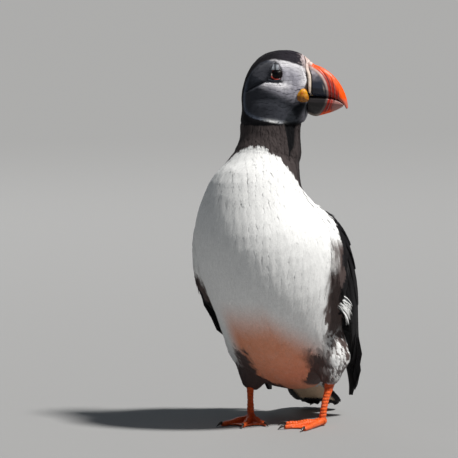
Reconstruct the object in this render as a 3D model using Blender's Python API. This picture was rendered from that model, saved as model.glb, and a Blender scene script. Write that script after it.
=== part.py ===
"""Atlantic puffin, life size, standing upright with its head turned over its left shoulder.

Lengths in the tables are millimetres and become metres when a mesh is made. Three frames are used:
  body frame   u forward (the breast), v to the bird's left, z up from the floor
  head frame   f forward (the bill), s to the bird's left, h up, from the middle of the head
  leg frames   the body frame again, with each foot turned about its own toe joint
The finished bird is slid over the floor so that the origin is the bottom centre of its box.
"""

import math
from collections import namedtuple

import bmesh
import bpy
from mathutils import Matrix, Vector

MM = 0.001

# ---- Driving dimensions, in millimetres and degrees ----------------------------------------
GAP = 0.35  # clearance between neighbouring pieces
NECK_CUT = ((5, -6, 195.5), (-0.25, 0.05, 0.97))  # a place on the cut and its normal, body frame
HEAD_CUT = ((0, -2, 218), (0, 0, 1))
BODY_YAW = 22.0  # the breast points this far to the bird's own right of -Y
BODY_PLACE = (-12.0, 0.0)
HEAD_YAW = 10.0  # the bill points along +X, turned this far towards -Y
HEAD_PITCH = 10.0  # bill held below level
HEAD_CENTRE = (-6.5, 1.0, 242.0)  # in the world, before the bird is slid to its origin

Station = namedtuple("Station", "u v z width depth")  # width and depth are half sizes
TRUNK = {
    "tail root": Station(-70, 2, 24, 13, 8),
    "vent": Station(-53, 1, 40.5, 32, 25),
    "low belly": Station(-38, 1, 57.5, 43, 36),
    "belly": Station(-26, 3, 75.5, 45.8, 45),
    "low breast": Station(-14, 3.6, 96.5, 47.4, 51),
    "breast": Station(-1, 2.4, 118.5, 49.1, 53),
    "full breast": Station(8.5, -0.4, 143.5, 48.2, 48),
    "high breast": Station(12, -4, 168.5, 35.6, 38),
    "shoulder": Station(8.5, -0.5, 182.5, 28, 30),
    "low neck": Station(5, 1.5, 192.5, 23.5, 26),
    "neck": Station(1.5, 3.8, 204.5, 21, 23),
    "high neck": Station(0, 4, 218.5, 20.5, 21.5),
    "inside head": Station(0, 3, 232.5, 18, 19),
}

# width is a half size, and lean is how fast a slice slopes back above the mouth
Slice = namedtuple("Slice", "f top bottom width lean")
HEAD = {
    "nape": Slice(-22.0, -1, -9, 3.5, 0),
    "back of head": Slice(-20.5, 8, -16, 9.5, 0),
    "hind crown": Slice(-17.0, 16.2, -21, 14, 0),
    "crown": Slice(-11.6, 22.4, -24.5, 17.2, 0),
    "mid crown": Slice(-4, 26.6, -26.5, 19, 0),
    "over the eye": Slice(5, 28.7, -26.5, 19, 0),
    "forehead": Slice(12.5, 28.9, -25.5, 16.3, 0.03),
    "lore": Slice(19.6, 28.2, -24, 12.6, 0.16),
    "bill root": Slice(25.2, 26.3, -20.5, 9.3, 0.28),
    "inside bill": Slice(27.8, 18, -13, 5.0, 0.30),
}
CROWN_NARROWING = 0.13  # the head is wider at the cheeks than at the crown

CULMEN_CENTRE = (22.0, -9.6)  # f, h of the arc that the ridge of the bill follows
CULMEN_RADIUS = 31.6
CULMEN_HOOK = 1.6  # how much further from that centre the tip is
CULMEN_FROM, CULMEN_TO = 95.0, 8.0  # degrees round that centre, root to tip
MOUTH = [(24.8, -1.3), (33.0, 0.1), (40.6, 0.9), (46.7, 0.0), (51.4, -2.3), (53.9, -5.4)]
KEEL = [(27.0, -13.4), (32.4, -14.3), (39.0, -11.7), (45.4, -8.2), (50.6, -4.2)]
LOWER_START, LOWER_REACH = 0.02, 0.78  # shares of the mouth's length where the lower one ends
UPPER_REACH = 0.985
BILL_WIDTH = 8.8  # half width at the root
BILL_TIP_WIDTH = 1.3
RIDGE_SHARE = 0.30  # width of the ridge as a share of the width at the mouth
CERE_END = 0.085  # share of the bill's length that the cere takes
CERE_PROUD = 0.9
CERE_TOP = [(16.8, 26.2), (20.4, 24.8), (23.1, 22.1)]  # f, h of its ridge, down the forehead
CERE_CLEARANCE = 0.011  # a share too, from the cere to the rest of the upper mandible
GAPE_PLACE = (21.8, 10.4, -0.8)
GAPE_RADII = (4.6, 3.4, 5.0)

EYE_PLACE = (2.8, 12.6)  # f, h
EYE_RADIUS = 4.9
EYE_DEPTH = 3.55  # of the eye's middle below the feathers
PLATE_THICKNESS = 1.0
PLATE_OVER = [(-4.2, 1.4), (1.8, 2.2), (-0.4, 4.8), (-2.6, 6.8), (-3.8, 5.6)]  # f, h from the eye
PLATE_UNDER = [(-5.4, -5.4), (-2.0, -5.9), (3.6, -5.5), (3.0, -7.4), (-5.0, -7.1)]
PLATE_PRISM = (6.0, 30.0)  # the plates are cut from blocks between these distances from the middle
EYE_SEARCH = 40.0  # how far out a line starts that looks for the side of the head

HEEL = (-24.0, 30.0)  # u, z of the ankle joint
TOE_JOINT = (-17.0, 5.0)  # u, z where the toes meet
STANCE_MIDDLE, STANCE_HALF = 8.8, 30.4
THIGH_PROFILE = [(-26, 74, 17), (-27, 58, 18), (-27, 46, 14)]  # u, z, radius, down to the ankle
THIGH_CUT = (-27.0, 1.5, 19.0, (16, 31, 42, 50))  # u, nearer the middle by, radius, z of its points
THIGH_OUTWARD = {"left": (-11, -7, -2.5), "right": (-1, 2, 1)}  # of the leg, from the top down
TOE_IN = {"left": 33.0, "right": 12.0}  # turn of the middle toe towards the other foot
TOES = {"inner": (33.0, 25.5), "middle": (0.0, 32.5), "outer": (-31.0, 31.5)}  # turn, length
TOE_PROFILE = [  # share of the length, z, radius
    (0.0, 3.6, 2.9),
    (0.22, 2.5, 2.3),
    (0.42, 2.5, 2.45),
    (0.68, 1.75, 1.85),
    (0.86, 1.7, 1.95),
    (1.0, 1.4, 1.5),
]
CLAW_PROFILE = [  # distance past the toe's end, z, radius
    (-1.5, 2.3, 1.15),
    (1.2, 2.6, 1.2),
    (3.2, 2.0, 0.85),
    (4.8, 1.05, 0.5),
    (6.0, 0.45, 0.26),
]
WEB_THICKNESS = 1.0
WEB_Z = 0.45  # of its underside
WEB_REACH, WEB_HOLLOW = 0.94, 0.17  # share of the toes' length, and how much less in the middle

BLACK = (0.012, 0.012, 0.014)
WHITE = (0.82, 0.82, 0.80)
GREY = (0.42, 0.43, 0.45)
SLATE = (0.10, 0.12, 0.16)
CREAM = (0.78, 0.66, 0.50)
ORANGE = (0.90, 0.16, 0.02)
YELLOW = (0.85, 0.42, 0.02)


# ---- Frames ------------------------------------------------------------------------------


def frame_empty(name, place, forward, left, up):
    """An empty whose axes are the given forward, left and up directions."""
    empty = bpy.data.objects.new(name, None)
    bpy.context.scene.collection.objects.link(empty)
    turn = Matrix((forward, left, up)).transposed().to_4x4()
    empty.matrix_world = Matrix.Translation(Vector(place) * MM) @ turn
    return empty


def body_frame():
    yaw = math.radians(BODY_YAW)
    forward = Vector((-math.sin(yaw), -math.cos(yaw), 0))
    up = Vector((0, 0, 1))
    return frame_empty("body_frame", (*BODY_PLACE, 0), forward, up.cross(forward), up)


def head_frame():
    yaw, pitch = math.radians(HEAD_YAW), math.radians(HEAD_PITCH)
    level = Vector((math.cos(yaw), -math.sin(yaw), 0))
    up = Vector((0, 0, 1))
    forward = level * math.cos(pitch) - up * math.sin(pitch)
    left = up.cross(level)
    return frame_empty("head_frame", HEAD_CENTRE, forward, left, forward.cross(left))


# ---- Helpers -----------------------------------------------------------------------------


def material(name, colour, roughness):
    made = bpy.data.materials.new(name)
    made.use_nodes = True
    shader = made.node_tree.nodes["Principled BSDF"]
    shader.inputs["Base Color"].default_value = (*colour, 1)
    shader.inputs["Roughness"].default_value = roughness
    shader.inputs["Metallic"].default_value = 0.0
    return made


def add_object(name, bm, frame):
    """Puts the bmesh, in millimetres of the frame, into the scene as an object."""
    bmesh.ops.recalc_face_normals(bm, faces=bm.faces)
    if bm.calc_volume(signed=True) < 0:
        bmesh.ops.reverse_faces(bm, faces=bm.faces)
    bmesh.ops.scale(bm, vec=(MM, MM, MM), verts=bm.verts)
    mesh = bpy.data.meshes.new(name)
    bm.to_mesh(mesh)
    bm.free()
    obj = bpy.data.objects.new(name, mesh)
    bpy.context.scene.collection.objects.link(obj)
    obj.parent = frame
    bpy.context.view_layer.update()
    return obj


def loft(name, rings, frame):
    """One closed skin over rings of equally many points, each end filled."""
    bm = bmesh.new()
    loops = [[bm.verts.new(p) for p in ring] for ring in rings]
    for first, second in zip(loops, loops[1:]):
        for i in range(len(first)):
            j = (i + 1) % len(first)
            bm.faces.new((first[i], first[j], second[j], second[i]))
    bm.faces.new(loops[0])
    bm.faces.new(loops[-1])
    return add_object(name, bm, frame)


def curve_through(points, steps):
    """Catmull-Rom values through a list of equally long tuples, steps to each span."""
    points = [Vector(p) for p in points]
    ends = [2 * points[0] - points[1], *points, 2 * points[-1] - points[-2]]
    found = []
    for a, b, c, d in zip(ends, ends[1:], ends[2:], ends[3:]):
        for k in range(steps):
            t = k / steps
            found.append(
                0.5 * (2 * b + (c - a) * t + (2 * a - 5 * b + 4 * c - d) * t * t
                       + (3 * b - a - 3 * c + d) * t ** 3)
            )
    return [*found, points[-1]]


def along(points, share):
    """The point a share of the way through a list of points."""
    at = min(max(share, 0.0), 1.0) * (len(points) - 1)
    low = min(int(at), len(points) - 2)
    return points[low].lerp(points[low + 1], at - low)


def apply_modifiers(obj):
    graph = bpy.context.evaluated_depsgraph_get()
    graph.update()
    mesh = bpy.data.meshes.new_from_object(obj.evaluated_get(graph))
    obj.modifiers.clear()
    obj.data = mesh


def boolean(obj, other, operation):
    modifier = obj.modifiers.new(operation.lower(), "BOOLEAN")
    modifier.operation = operation
    modifier.object = other
    modifier.solver = "EXACT"
    apply_modifiers(obj)


def grown(obj, by):
    """A hidden copy of the object, swollen along its normals, to cut neighbours with."""
    copy = obj.copy()
    copy.data = obj.data.copy()
    copy.name = f"{obj.name}_cutter"
    bpy.context.scene.collection.objects.link(copy)
    copy.hide_render = True
    copy.display_type = "WIRE"
    swell = copy.modifiers.new("swell", "DISPLACE")
    swell.mid_level = 0
    swell.strength = by * MM
    bpy.context.view_layer.update()
    apply_modifiers(copy)
    return copy


def remove(obj):
    bpy.data.objects.remove(obj)


def clear_of(obj, *neighbours):
    """Cuts the object back from its neighbours, leaving the clearance."""
    for neighbour in neighbours:
        cutter = grown(neighbour, GAP)
        boolean(obj, cutter, "DIFFERENCE")
        remove(cutter)
    keep_largest(obj)


def keep_largest(obj):
    """Drops the crumbs that a cut can leave, keeping the piece with most faces."""
    bm = bmesh.new()
    bm.from_mesh(obj.data)
    left, bodies = set(bm.verts), []
    while left:
        found, edge = set(), [left.pop()]
        while edge:
            vert = edge.pop()
            found.add(vert)
            near = {e.other_vert(vert) for e in vert.link_edges} & left
            left -= near
            edge.extend(near)
        bodies.append(found)
    bodies.sort(key=len)
    crumbs = [v for body in bodies[:-1] for v in body]
    bmesh.ops.delete(bm, geom=crumbs, context="VERTS")
    bm.to_mesh(obj.data)
    bm.free()


def halve(obj, name, place, normal, frame):
    """Cuts the object at a plane: it keeps the far side of the normal, the new one the near side."""
    upper = obj.copy()
    upper.data = obj.data.copy()
    upper.name = name
    bpy.context.scene.collection.objects.link(upper)
    to_local = obj.matrix_world.inverted() @ frame.matrix_world
    direction = (to_local.to_3x3() @ Vector(normal)).normalized()
    middle = to_local @ (Vector(place) * MM)
    for piece, side in ((obj, -1), (upper, 1)):
        bm = bmesh.new()
        bm.from_mesh(piece.data)
        bmesh.ops.bisect_plane(
            bm,
            geom=[*bm.verts, *bm.edges, *bm.faces],
            plane_co=middle + direction * (side * GAP * MM / 2),
            plane_no=direction * -side,
            clear_outer=True,
        )
        rim = [e for e in bm.edges if e.is_boundary]
        bmesh.ops.contextual_create(bm, geom=rim)
        bmesh.ops.triangulate(bm, faces=[f for f in bm.faces if len(f.verts) > 4])
        bmesh.ops.recalc_face_normals(bm, faces=bm.faces)
        bm.to_mesh(piece.data)
        bm.free()
    return upper


def ellipsoid(name, centre, radii, frame, segments=24, rings=14):
    bm = bmesh.new()
    bmesh.ops.create_uvsphere(bm, u_segments=segments, v_segments=rings, radius=1.0)
    bmesh.ops.scale(bm, vec=radii, verts=bm.verts)
    bmesh.ops.translate(bm, vec=centre, verts=bm.verts)
    return add_object(name, bm, frame)


# ---- Trunk, neck, head and thighs, modelled whole ----------------------------------------


def trunk_rings(stations, steps, sides):
    """Rings round the spine. An angle of 0 is the breast, 90 the bird's left, 180 the back."""
    spine = curve_through([tuple(s) for s in stations], steps)
    rings = []
    for i, station in enumerate(spine):
        ahead = spine[min(i + 1, len(spine) - 1)]
        behind = spine[max(i - 1, 0)]
        rising = Vector((ahead[0] - behind[0], 0, ahead[2] - behind[2])).normalized()
        left = Vector((0, 1, 0))
        front = left.cross(rising)
        middle = Vector(station[:3])
        ring = []
        for k in range(sides):
            angle = 2 * math.pi * k / sides
            ring.append(
                middle + front * (math.cos(angle) * station[4]) + left * (math.sin(angle) * station[3])
            )
        rings.append(ring)
    return rings


def head_rings(steps=3, sides=32):
    rings = []
    for f, top, bottom, width, lean in curve_through([tuple(s) for s in HEAD.values()], steps):
        middle, half = (top + bottom) / 2, (top - bottom) / 2
        ring = []
        for k in range(sides):
            angle = 2 * math.pi * k / sides
            rise = math.sin(angle)
            across = width * math.cos(angle) * (1 - CROWN_NARROWING * rise)
            height = middle + half * rise
            ring.append(Vector((f - lean * max(height, 0), across, height)))
        rings.append(ring)
    return rings


def foot_side(side):
    return 1 if side == "left" else -1


def leg_middle(side):
    return STANCE_MIDDLE + foot_side(side) * STANCE_HALF


def thigh_rings(side, sides=20):
    """The feathered leg: a cone from inside the belly down to just over the ankle."""
    v, lean = leg_middle(side), foot_side(side)
    line = [  # u, v, z, radius
        (u, v + lean * outward, z, radius)
        for (u, z, radius), outward in zip(THIGH_PROFILE, THIGH_OUTWARD[side])
    ]
    line += [(HEEL[0] - 1, v, HEEL[1] + 7, 8), (HEEL[0] - 0.5, v, HEEL[1] + 2.5, 5.6)]
    rings = []
    for u, across, z, radius in curve_through(line, 3):
        turns = (2 * math.pi * k / sides for k in range(sides))
        rings.append(
            [Vector((u + 1.15 * radius * math.cos(a), across + radius * math.sin(a), z)) for a in turns]
        )
    return rings


def whole_body(body, head):
    """Trunk, neck, head and thighs melted into one skin, then thinned to few facets."""
    whole = loft("trunk", trunk_rings(TRUNK.values(), 4, 40), body)
    parts = [loft("head_loft", head_rings(), head)]
    parts += [loft(f"thigh_{side}_loft", thigh_rings(side), body) for side in ("left", "right")]
    for part in parts:
        boolean(whole, part, "UNION")
        remove(part)
    melt = whole.modifiers.new("melt", "REMESH")
    melt.mode = "VOXEL"
    melt.voxel_size = 1.6 * MM
    soften = whole.modifiers.new("soften", "SMOOTH")
    soften.factor = 0.5
    soften.iterations = 14
    thin = whole.modifiers.new("thin", "DECIMATE")
    thin.ratio = 0.026
    apply_modifiers(whole)
    return whole


# ---- The bill ----------------------------------------------------------------------------


def culmen(share):
    angle = math.radians(CULMEN_FROM + (CULMEN_TO - CULMEN_FROM) * share)
    radius = CULMEN_RADIUS + CULMEN_HOOK * share ** 3
    return Vector(CULMEN_CENTRE) + radius * Vector((math.cos(angle), math.sin(angle)))


def bill_half_width(share):
    return BILL_TIP_WIDTH + (BILL_WIDTH - BILL_TIP_WIDTH) * (1 - share ** 1.35)


def bill_ring(low, high, width, narrow_at_high, proud, sides=14):
    """A slice of a mandible between two points of its side view, narrower at one of them."""
    rise = high - low
    direction = rise.normalized()
    high = high + direction * proud
    ring = []
    for k in range(sides):
        angle = 2 * math.pi * (k + 0.5) / sides
        share = (1 - math.cos(angle)) / 2
        far = share if narrow_at_high else 1 - share
        taper = 1 - (1 - RIDGE_SHARE) * far ** 1.5
        side = math.copysign(abs(math.sin(angle)) ** 0.55, math.sin(angle))
        at = low.lerp(high, share)
        ring.append(Vector((at.x, (width + proud) * taper * side, at.y)))
    return ring


def upper_rings(start, end, count):
    mouth = curve_through(MOUTH, 6)
    rings = []
    for k in range(count):
        share = start + (end - start) * k / (count - 1)
        low = along(mouth, share) + Vector((0, GAP / 2))
        rings.append(bill_ring(low, culmen(share), bill_half_width(share), True, 0.0))
    return rings


def cere_rings(count=5):
    """A collar round the root of the bill, widest on top, where it runs up the forehead."""
    mouth, ridge = curve_through(MOUTH, 6), curve_through(CERE_TOP, 4)
    rings = []
    for k in range(count):
        share = k / (count - 1)
        low = along(mouth, CERE_END * share) + Vector((0, GAP / 2))
        rounded = math.sin(math.pi * min(max(share, 0.06), 0.94)) ** 0.6
        width = bill_half_width(CERE_END * share)
        rings.append(bill_ring(low, along(ridge, share), width, True, CERE_PROUD * rounded))
    return rings


def lower_rings(count):
    mouth, keel = curve_through(MOUTH, 6), curve_through(KEEL, 6)
    rings = []
    for k in range(count):
        share = LOWER_START + (LOWER_REACH - LOWER_START) * k / (count - 1)
        high = along(mouth, share) - Vector((0, GAP / 2))
        low = along(keel, k / (count - 1))
        rings.append(bill_ring(low, high, bill_half_width(share) * 0.96, False, 0.0))
    return rings


def bill(head_piece, frame):
    cere = loft("cere", cere_rings(), frame)
    upper = loft("bill_upper", upper_rings(CERE_END + CERE_CLEARANCE, UPPER_REACH, 14), frame)
    lower = loft("bill_lower", lower_rings(11), frame)
    gapes = []
    for side, sign in (("left", 1), ("right", -1)):
        place = (GAPE_PLACE[0], sign * GAPE_PLACE[1], GAPE_PLACE[2])
        gape = ellipsoid(f"gape_{side}", place, GAPE_RADII, frame, 12, 8)
        clear_of(gape, head_piece, cere, upper, lower)
        gapes.append(gape)
    for piece in (cere, upper, lower):
        clear_of(piece, head_piece)
    return [cere, upper, lower, *gapes]


# ---- Eyes and the horny plates round them ------------------------------------------------


def eye_middle(head_piece, side, frame):
    """The eye's middle, below the point where a level line from the side meets the head."""
    sign = 1 if side == "left" else -1
    to_piece = head_piece.matrix_world.inverted() @ frame.matrix_world
    start = to_piece @ (Vector((EYE_PLACE[0], sign * EYE_SEARCH, EYE_PLACE[1])) * MM)
    direction = (to_piece.to_3x3() @ Vector((0, -sign, 0))).normalized()
    hit, place, normal, _ = head_piece.ray_cast(start, direction)
    assert hit
    back = frame.matrix_world.inverted() @ head_piece.matrix_world
    outward = (back.to_3x3() @ normal).normalized()
    return back @ place / MM - outward * EYE_DEPTH


def prism(name, outline, sign, frame):
    """An outline in the side view, extruded out from the middle plane to one side."""
    bm = bmesh.new()
    near, far = (
        [bm.verts.new((f, sign * s, h)) for f, h in outline] for s in PLATE_PRISM
    )
    bm.faces.new(near)
    bm.faces.new(far)
    for i in range(len(outline)):
        j = (i + 1) % len(outline)
        bm.faces.new((near[i], near[j], far[j], far[i]))
    return add_object(name, bm, frame)


def eye_plates(head_piece, eye, side, frame):
    """A wedge standing over the eye and a bar lying under it, each bent to the face."""
    sign = 1 if side == "left" else -1
    f, h = EYE_PLACE
    shell = grown(head_piece, GAP + PLATE_THICKNESS)
    plates = []
    for name, outline in (("eye_plate_upper", PLATE_OVER), ("eye_plate_lower", PLATE_UNDER)):
        placed = [(f + ahead, h + above) for ahead, above in outline]
        plate = prism(f"{name}_{side}", placed, sign, frame)
        boolean(plate, shell, "INTERSECT")
        clear_of(plate, head_piece, eye)
        plates.append(plate)
    remove(shell)
    return plates


def eyes(head_piece, frame):
    made, sockets = [], []
    for side in ("left", "right"):
        middle = eye_middle(head_piece, side, frame)
        eye = ellipsoid(f"eye_{side}", middle, (EYE_RADIUS,) * 3, frame, 14, 9)
        made += [eye, *eye_plates(head_piece, eye, side, frame)]
        sockets.append(ellipsoid("socket", middle, (EYE_RADIUS + GAP,) * 3, frame, 14, 9))
    for socket in sockets:
        boolean(head_piece, socket, "DIFFERENCE")
        remove(socket)
    return made


# ---- Wings and tail ----------------------------------------------------------------------


WING_BED = [
    Station(-62, 2, 12, 38, 22),
    Station(-56, 2, 33, 42, 30),
    Station(-42, 1, 53.5, 45, 36),
    Station(-26, 1, 75.5, 48, 45),
    Station(-14, 1.5, 96.5, 49.5, 51),
    Station(-1, 1.5, 118.5, 50.5, 53),
    Station(6.5, 0.3, 138.5, 49, 50),
    Station(10.5, -3, 157.5, 41.5, 43),
]
Fold = namedtuple("Fold", "front back thick stand_off")  # angles from the breast, degrees
WING_FOLDS = {  # from the tip of the folded wing up to its wrist
    "left": [
        Fold(116, 128, 1.2, 1),
        Fold(104, 140, 2.4, 2),
        Fold(94, 150, 3.8, 4),
        Fold(85, 156, 5.0, 5),
        Fold(81, 158, 5.6, 5),
        Fold(84, 158, 5.2, 3.5),
        Fold(100, 156, 3.8, 1.4),
        Fold(112, 146, 2.0, 0.4),
    ],
    "right": [
        Fold(124, 136, 1.2, 0),
        Fold(110, 146, 2.4, 1),
        Fold(97, 152, 3.8, 3),
        Fold(85, 156, 5.0, 5),
        Fold(79, 158, 5.6, 5),
        Fold(78, 156, 5.4, 3),
        Fold(84, 150, 4.2, 1),
        Fold(92, 136, 2.4, 0),
    ],
}
WING_SINK = 2.5  # the wing's inner face starts this far inside the flank, before it is cut back


def wing(side, trunk, frame, steps=2, across=7):
    """A folded wing: a curved blade laid along the flank, thickest along its middle."""
    sign = 1 if side == "left" else -1
    spine = curve_through([tuple(s) for s in WING_BED], steps)
    folds = curve_through([tuple(f) for f in WING_FOLDS[side]], steps)
    rings = []
    for i, (front, back, thick, stand_off) in enumerate(folds):
        centre, ahead = Vector(spine[i][:3]), spine[min(i + 1, len(spine) - 1)]
        rising = ahead - spine[max(i - 1, 0)]
        rising = Vector((rising[0], 0, rising[2])).normalized()
        left = Vector((0, 1, 0))
        forward = left.cross(rising)
        outer, inner = [], []
        for k in range(across):
            share = k / (across - 1)
            angle = math.radians(front + (back - front) * share)
            bulge = 1 - abs(2 * share - 1) ** 2.5
            leading = (1 - share) ** 2
            for line, lift in ((outer, 1.0 + thick * bulge), (inner, -0.2 - WING_SINK * bulge)):
                lift += stand_off * leading
                line.append(
                    centre
                    + forward * (math.cos(angle) * (spine[i][4] + lift))
                    + left * (sign * math.sin(angle) * (spine[i][3] + lift))
                )
        rings.append(outer + inner[::-1])
    made = loft(f"wing_{side}", rings, frame)
    clear_of(made, trunk)
    return made


TAIL_ROOT = (-67, 2, 29.5)
TAIL_WAY = (-0.84, 0, -0.54)
TAIL_ARCH = 2.4  # how far its two edges hang below the middle
TAIL_PROFILE = [  # distance from the root, half width, half thickness
    (-8, 13, 5.0),
    (6, 15, 4.0),
    (20, 18, 2.6),
    (32, 19.5, 1.6),
    (40, 18, 1.1),
    (44.5, 11, 0.7),
]


def tail(trunk, frame):
    """A short wedge of stiff feathers, slightly fanned and hollowed underneath."""
    back = Vector(TAIL_WAY).normalized()
    over = Vector((0, 1, 0)).cross(back)
    rings = []
    for distance, width, thick in curve_through(TAIL_PROFILE, 2):
        ring = []
        for k in range(16):
            angle = 2 * math.pi * k / 16
            side = math.cos(angle)
            ring.append(
                Vector(TAIL_ROOT)
                + back * distance
                + Vector((0, 1, 0)) * (width * side)
                + over * (thick * math.sin(angle) - TAIL_ARCH * side * side)
            )
        rings.append(ring)
    made = loft("tail", rings, frame)
    clear_of(made, trunk)
    return made


# ---- Legs, feet and claws ----------------------------------------------------------------


def tube(name, line, frame, sides=8, squash=1.0, steps=2):
    """A round rod through (x, y, z, radius) points, each ring square to the line."""
    points = curve_through(line, steps)
    rings = []
    for i, point in enumerate(points):
        ahead, behind = points[min(i + 1, len(points) - 1)], points[max(i - 1, 0)]
        direction = Vector((ahead - behind)[:3]).normalized()
        across = Vector((0, 0, 1)).cross(direction)
        if across.length < 0.3:
            across = Vector((0, 1, 0))
        across = (across - direction * across.dot(direction)).normalized()
        third = direction.cross(across)
        turns = (2 * math.pi * (k + 0.5) / sides for k in range(sides))
        rings.append(
            [
                Vector(point[:3])
                + across * (point[3] * squash * math.cos(a))
                + third * (point[3] * math.sin(a))
                for a in turns
            ]
        )
    return loft(name, rings, frame)


def tarsus(side, thigh, frame):
    v, lean = leg_middle(side), foot_side(side)
    heel_u, heel_z = HEEL
    toe_u, toe_z = TOE_JOINT
    line = [
        (heel_u - 2.0, v, heel_z + 8, 3.4),
        (heel_u - 1.0, v, heel_z + 1.5, 4.6),
        (heel_u + 1.0, v - 0.4 * lean, heel_z - 5, 3.3),
        (heel_u + 4.0, v - 1.6 * lean, (heel_z + toe_z) / 2, 2.6),
        (toe_u - 1.0, v - 2.6 * lean, toe_z + 3.0, 2.9),
        (toe_u - 0.4, v - 3.0 * lean, toe_z - 1.0, 2.8),
    ]
    made = tube(f"tarsus_{side}", line, frame, 10, 0.86)
    clear_of(made, thigh)
    return made


def toe_path(name, side):
    """Points along a toe on the floor: u, v, z and radius."""
    turn, length = TOES[name]
    lean = foot_side(side)
    heading = math.radians(TOE_IN[side] + turn) * -lean
    ahead = Vector((math.cos(heading), math.sin(heading)))
    start = Vector((TOE_JOINT[0], leg_middle(side) - 3.2 * lean))
    path = []
    for share, z, radius in TOE_PROFILE:
        place = start + ahead * (length * share)
        path.append((place.x, place.y, z, radius))
    return path, ahead


def web(name, first, second, frame):
    """The skin between two toes: a thin plate with a hollowed front edge."""
    middle = (first[0] + second[0]) / 2
    rows = []
    steps = 6
    for i in range(steps + 1):
        share = i / steps
        reach = WEB_REACH - WEB_HOLLOW * math.sin(math.pi * share)
        edge = first[1].lerp(second[1], share)
        rows.append((middle + (edge - middle) * reach, middle.lerp(edge, 0.12)))
    outline = [far for far, _ in rows] + [rows[-1][1], rows[0][1]]
    bm = bmesh.new()
    low = [bm.verts.new((p.x, p.y, WEB_Z)) for p in outline]
    high = [bm.verts.new((p.x, p.y, WEB_Z + WEB_THICKNESS)) for p in outline]
    bm.faces.new(low)
    bm.faces.new(high)
    for i in range(len(outline)):
        j = (i + 1) % len(outline)
        bm.faces.new((low[i], low[j], high[j], high[i]))
    return add_object(name, bm, frame)


def foot(side, shank, frame):
    """Three toes and two webs as one piece, with claws of their own."""
    paths = {name: toe_path(name, side) for name in TOES}
    v, lean = leg_middle(side), foot_side(side)
    start = (TOE_JOINT[0] - 1.4, v - 3.0 * lean, TOE_JOINT[1] - 1.4, 3.5)
    pad = tube(
        f"foot_{side}",
        [(start[0] - 2.2, start[1], 2.6, 2.2), start, (TOE_JOINT[0] + 1.5, v - 3.2 * lean, 3.2, 3.3)],
        frame,
        12,
    )
    for name, (path, _) in paths.items():
        toe = tube("toe", path, frame, steps=1)
        boolean(pad, toe, "UNION")
        remove(toe)
    ends = {name: (Vector(path[0][:2]), Vector(path[-1][:2])) for name, (path, _) in paths.items()}
    for first, second in (("inner", "middle"), ("middle", "outer")):
        skin = web("web", ends[first], ends[second], frame)
        boolean(pad, skin, "UNION")
        remove(skin)
    flatten_sole(pad)
    clear_of(pad, shank)
    claws = [claw(side, name, *paths[name], pad, frame) for name in TOES]
    return [pad, *claws]


def flatten_sole(obj):
    """Cuts the foot level with the floor, which leaves a flat under the pad and each toe."""
    bm = bmesh.new()
    bm.from_mesh(obj.data)
    bmesh.ops.bisect_plane(
        bm,
        geom=[*bm.verts, *bm.edges, *bm.faces],
        plane_co=(0, 0, 0),
        plane_no=(0, 0, -1),
        clear_outer=True,
    )
    rim = [e for e in bm.edges if e.is_boundary]
    bmesh.ops.holes_fill(bm, edges=rim, sides=0)
    bmesh.ops.recalc_face_normals(bm, faces=bm.faces)
    bm.to_mesh(obj.data)
    bm.free()


def claw(side, name, path, ahead, pad, frame):
    tip = path[-1]
    line = [(tip[0] + ahead.x * d, tip[1] + ahead.y * d, z, r) for d, z, r in CLAW_PROFILE]
    made = tube(f"claw_{side}_{name}", line, frame, 6, 0.8)
    clear_of(made, pad)
    return made


# ---- Putting the bird together -----------------------------------------------------------


def slide_to_origin(frames):
    """Moves the whole bird over the floor so that the origin is the bottom centre of its box."""
    corners = [
        obj.matrix_world @ vert.co
        for obj in bpy.context.scene.objects
        if obj.type == "MESH"
        for vert in obj.data.vertices
    ]
    low = Vector(min(c[i] for c in corners) for i in range(3))
    high = Vector(max(c[i] for c in corners) for i in range(3))
    shift = Vector(((low.x + high.x) / 2, (low.y + high.y) / 2, low.z))
    for frame in frames:
        frame.matrix_world = Matrix.Translation(-shift) @ frame.matrix_world


def paint(objects, name, colour, roughness):
    finish = material(name, colour, roughness)
    for obj in objects:
        obj.data.materials.clear()
        obj.data.materials.append(finish)


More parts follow.
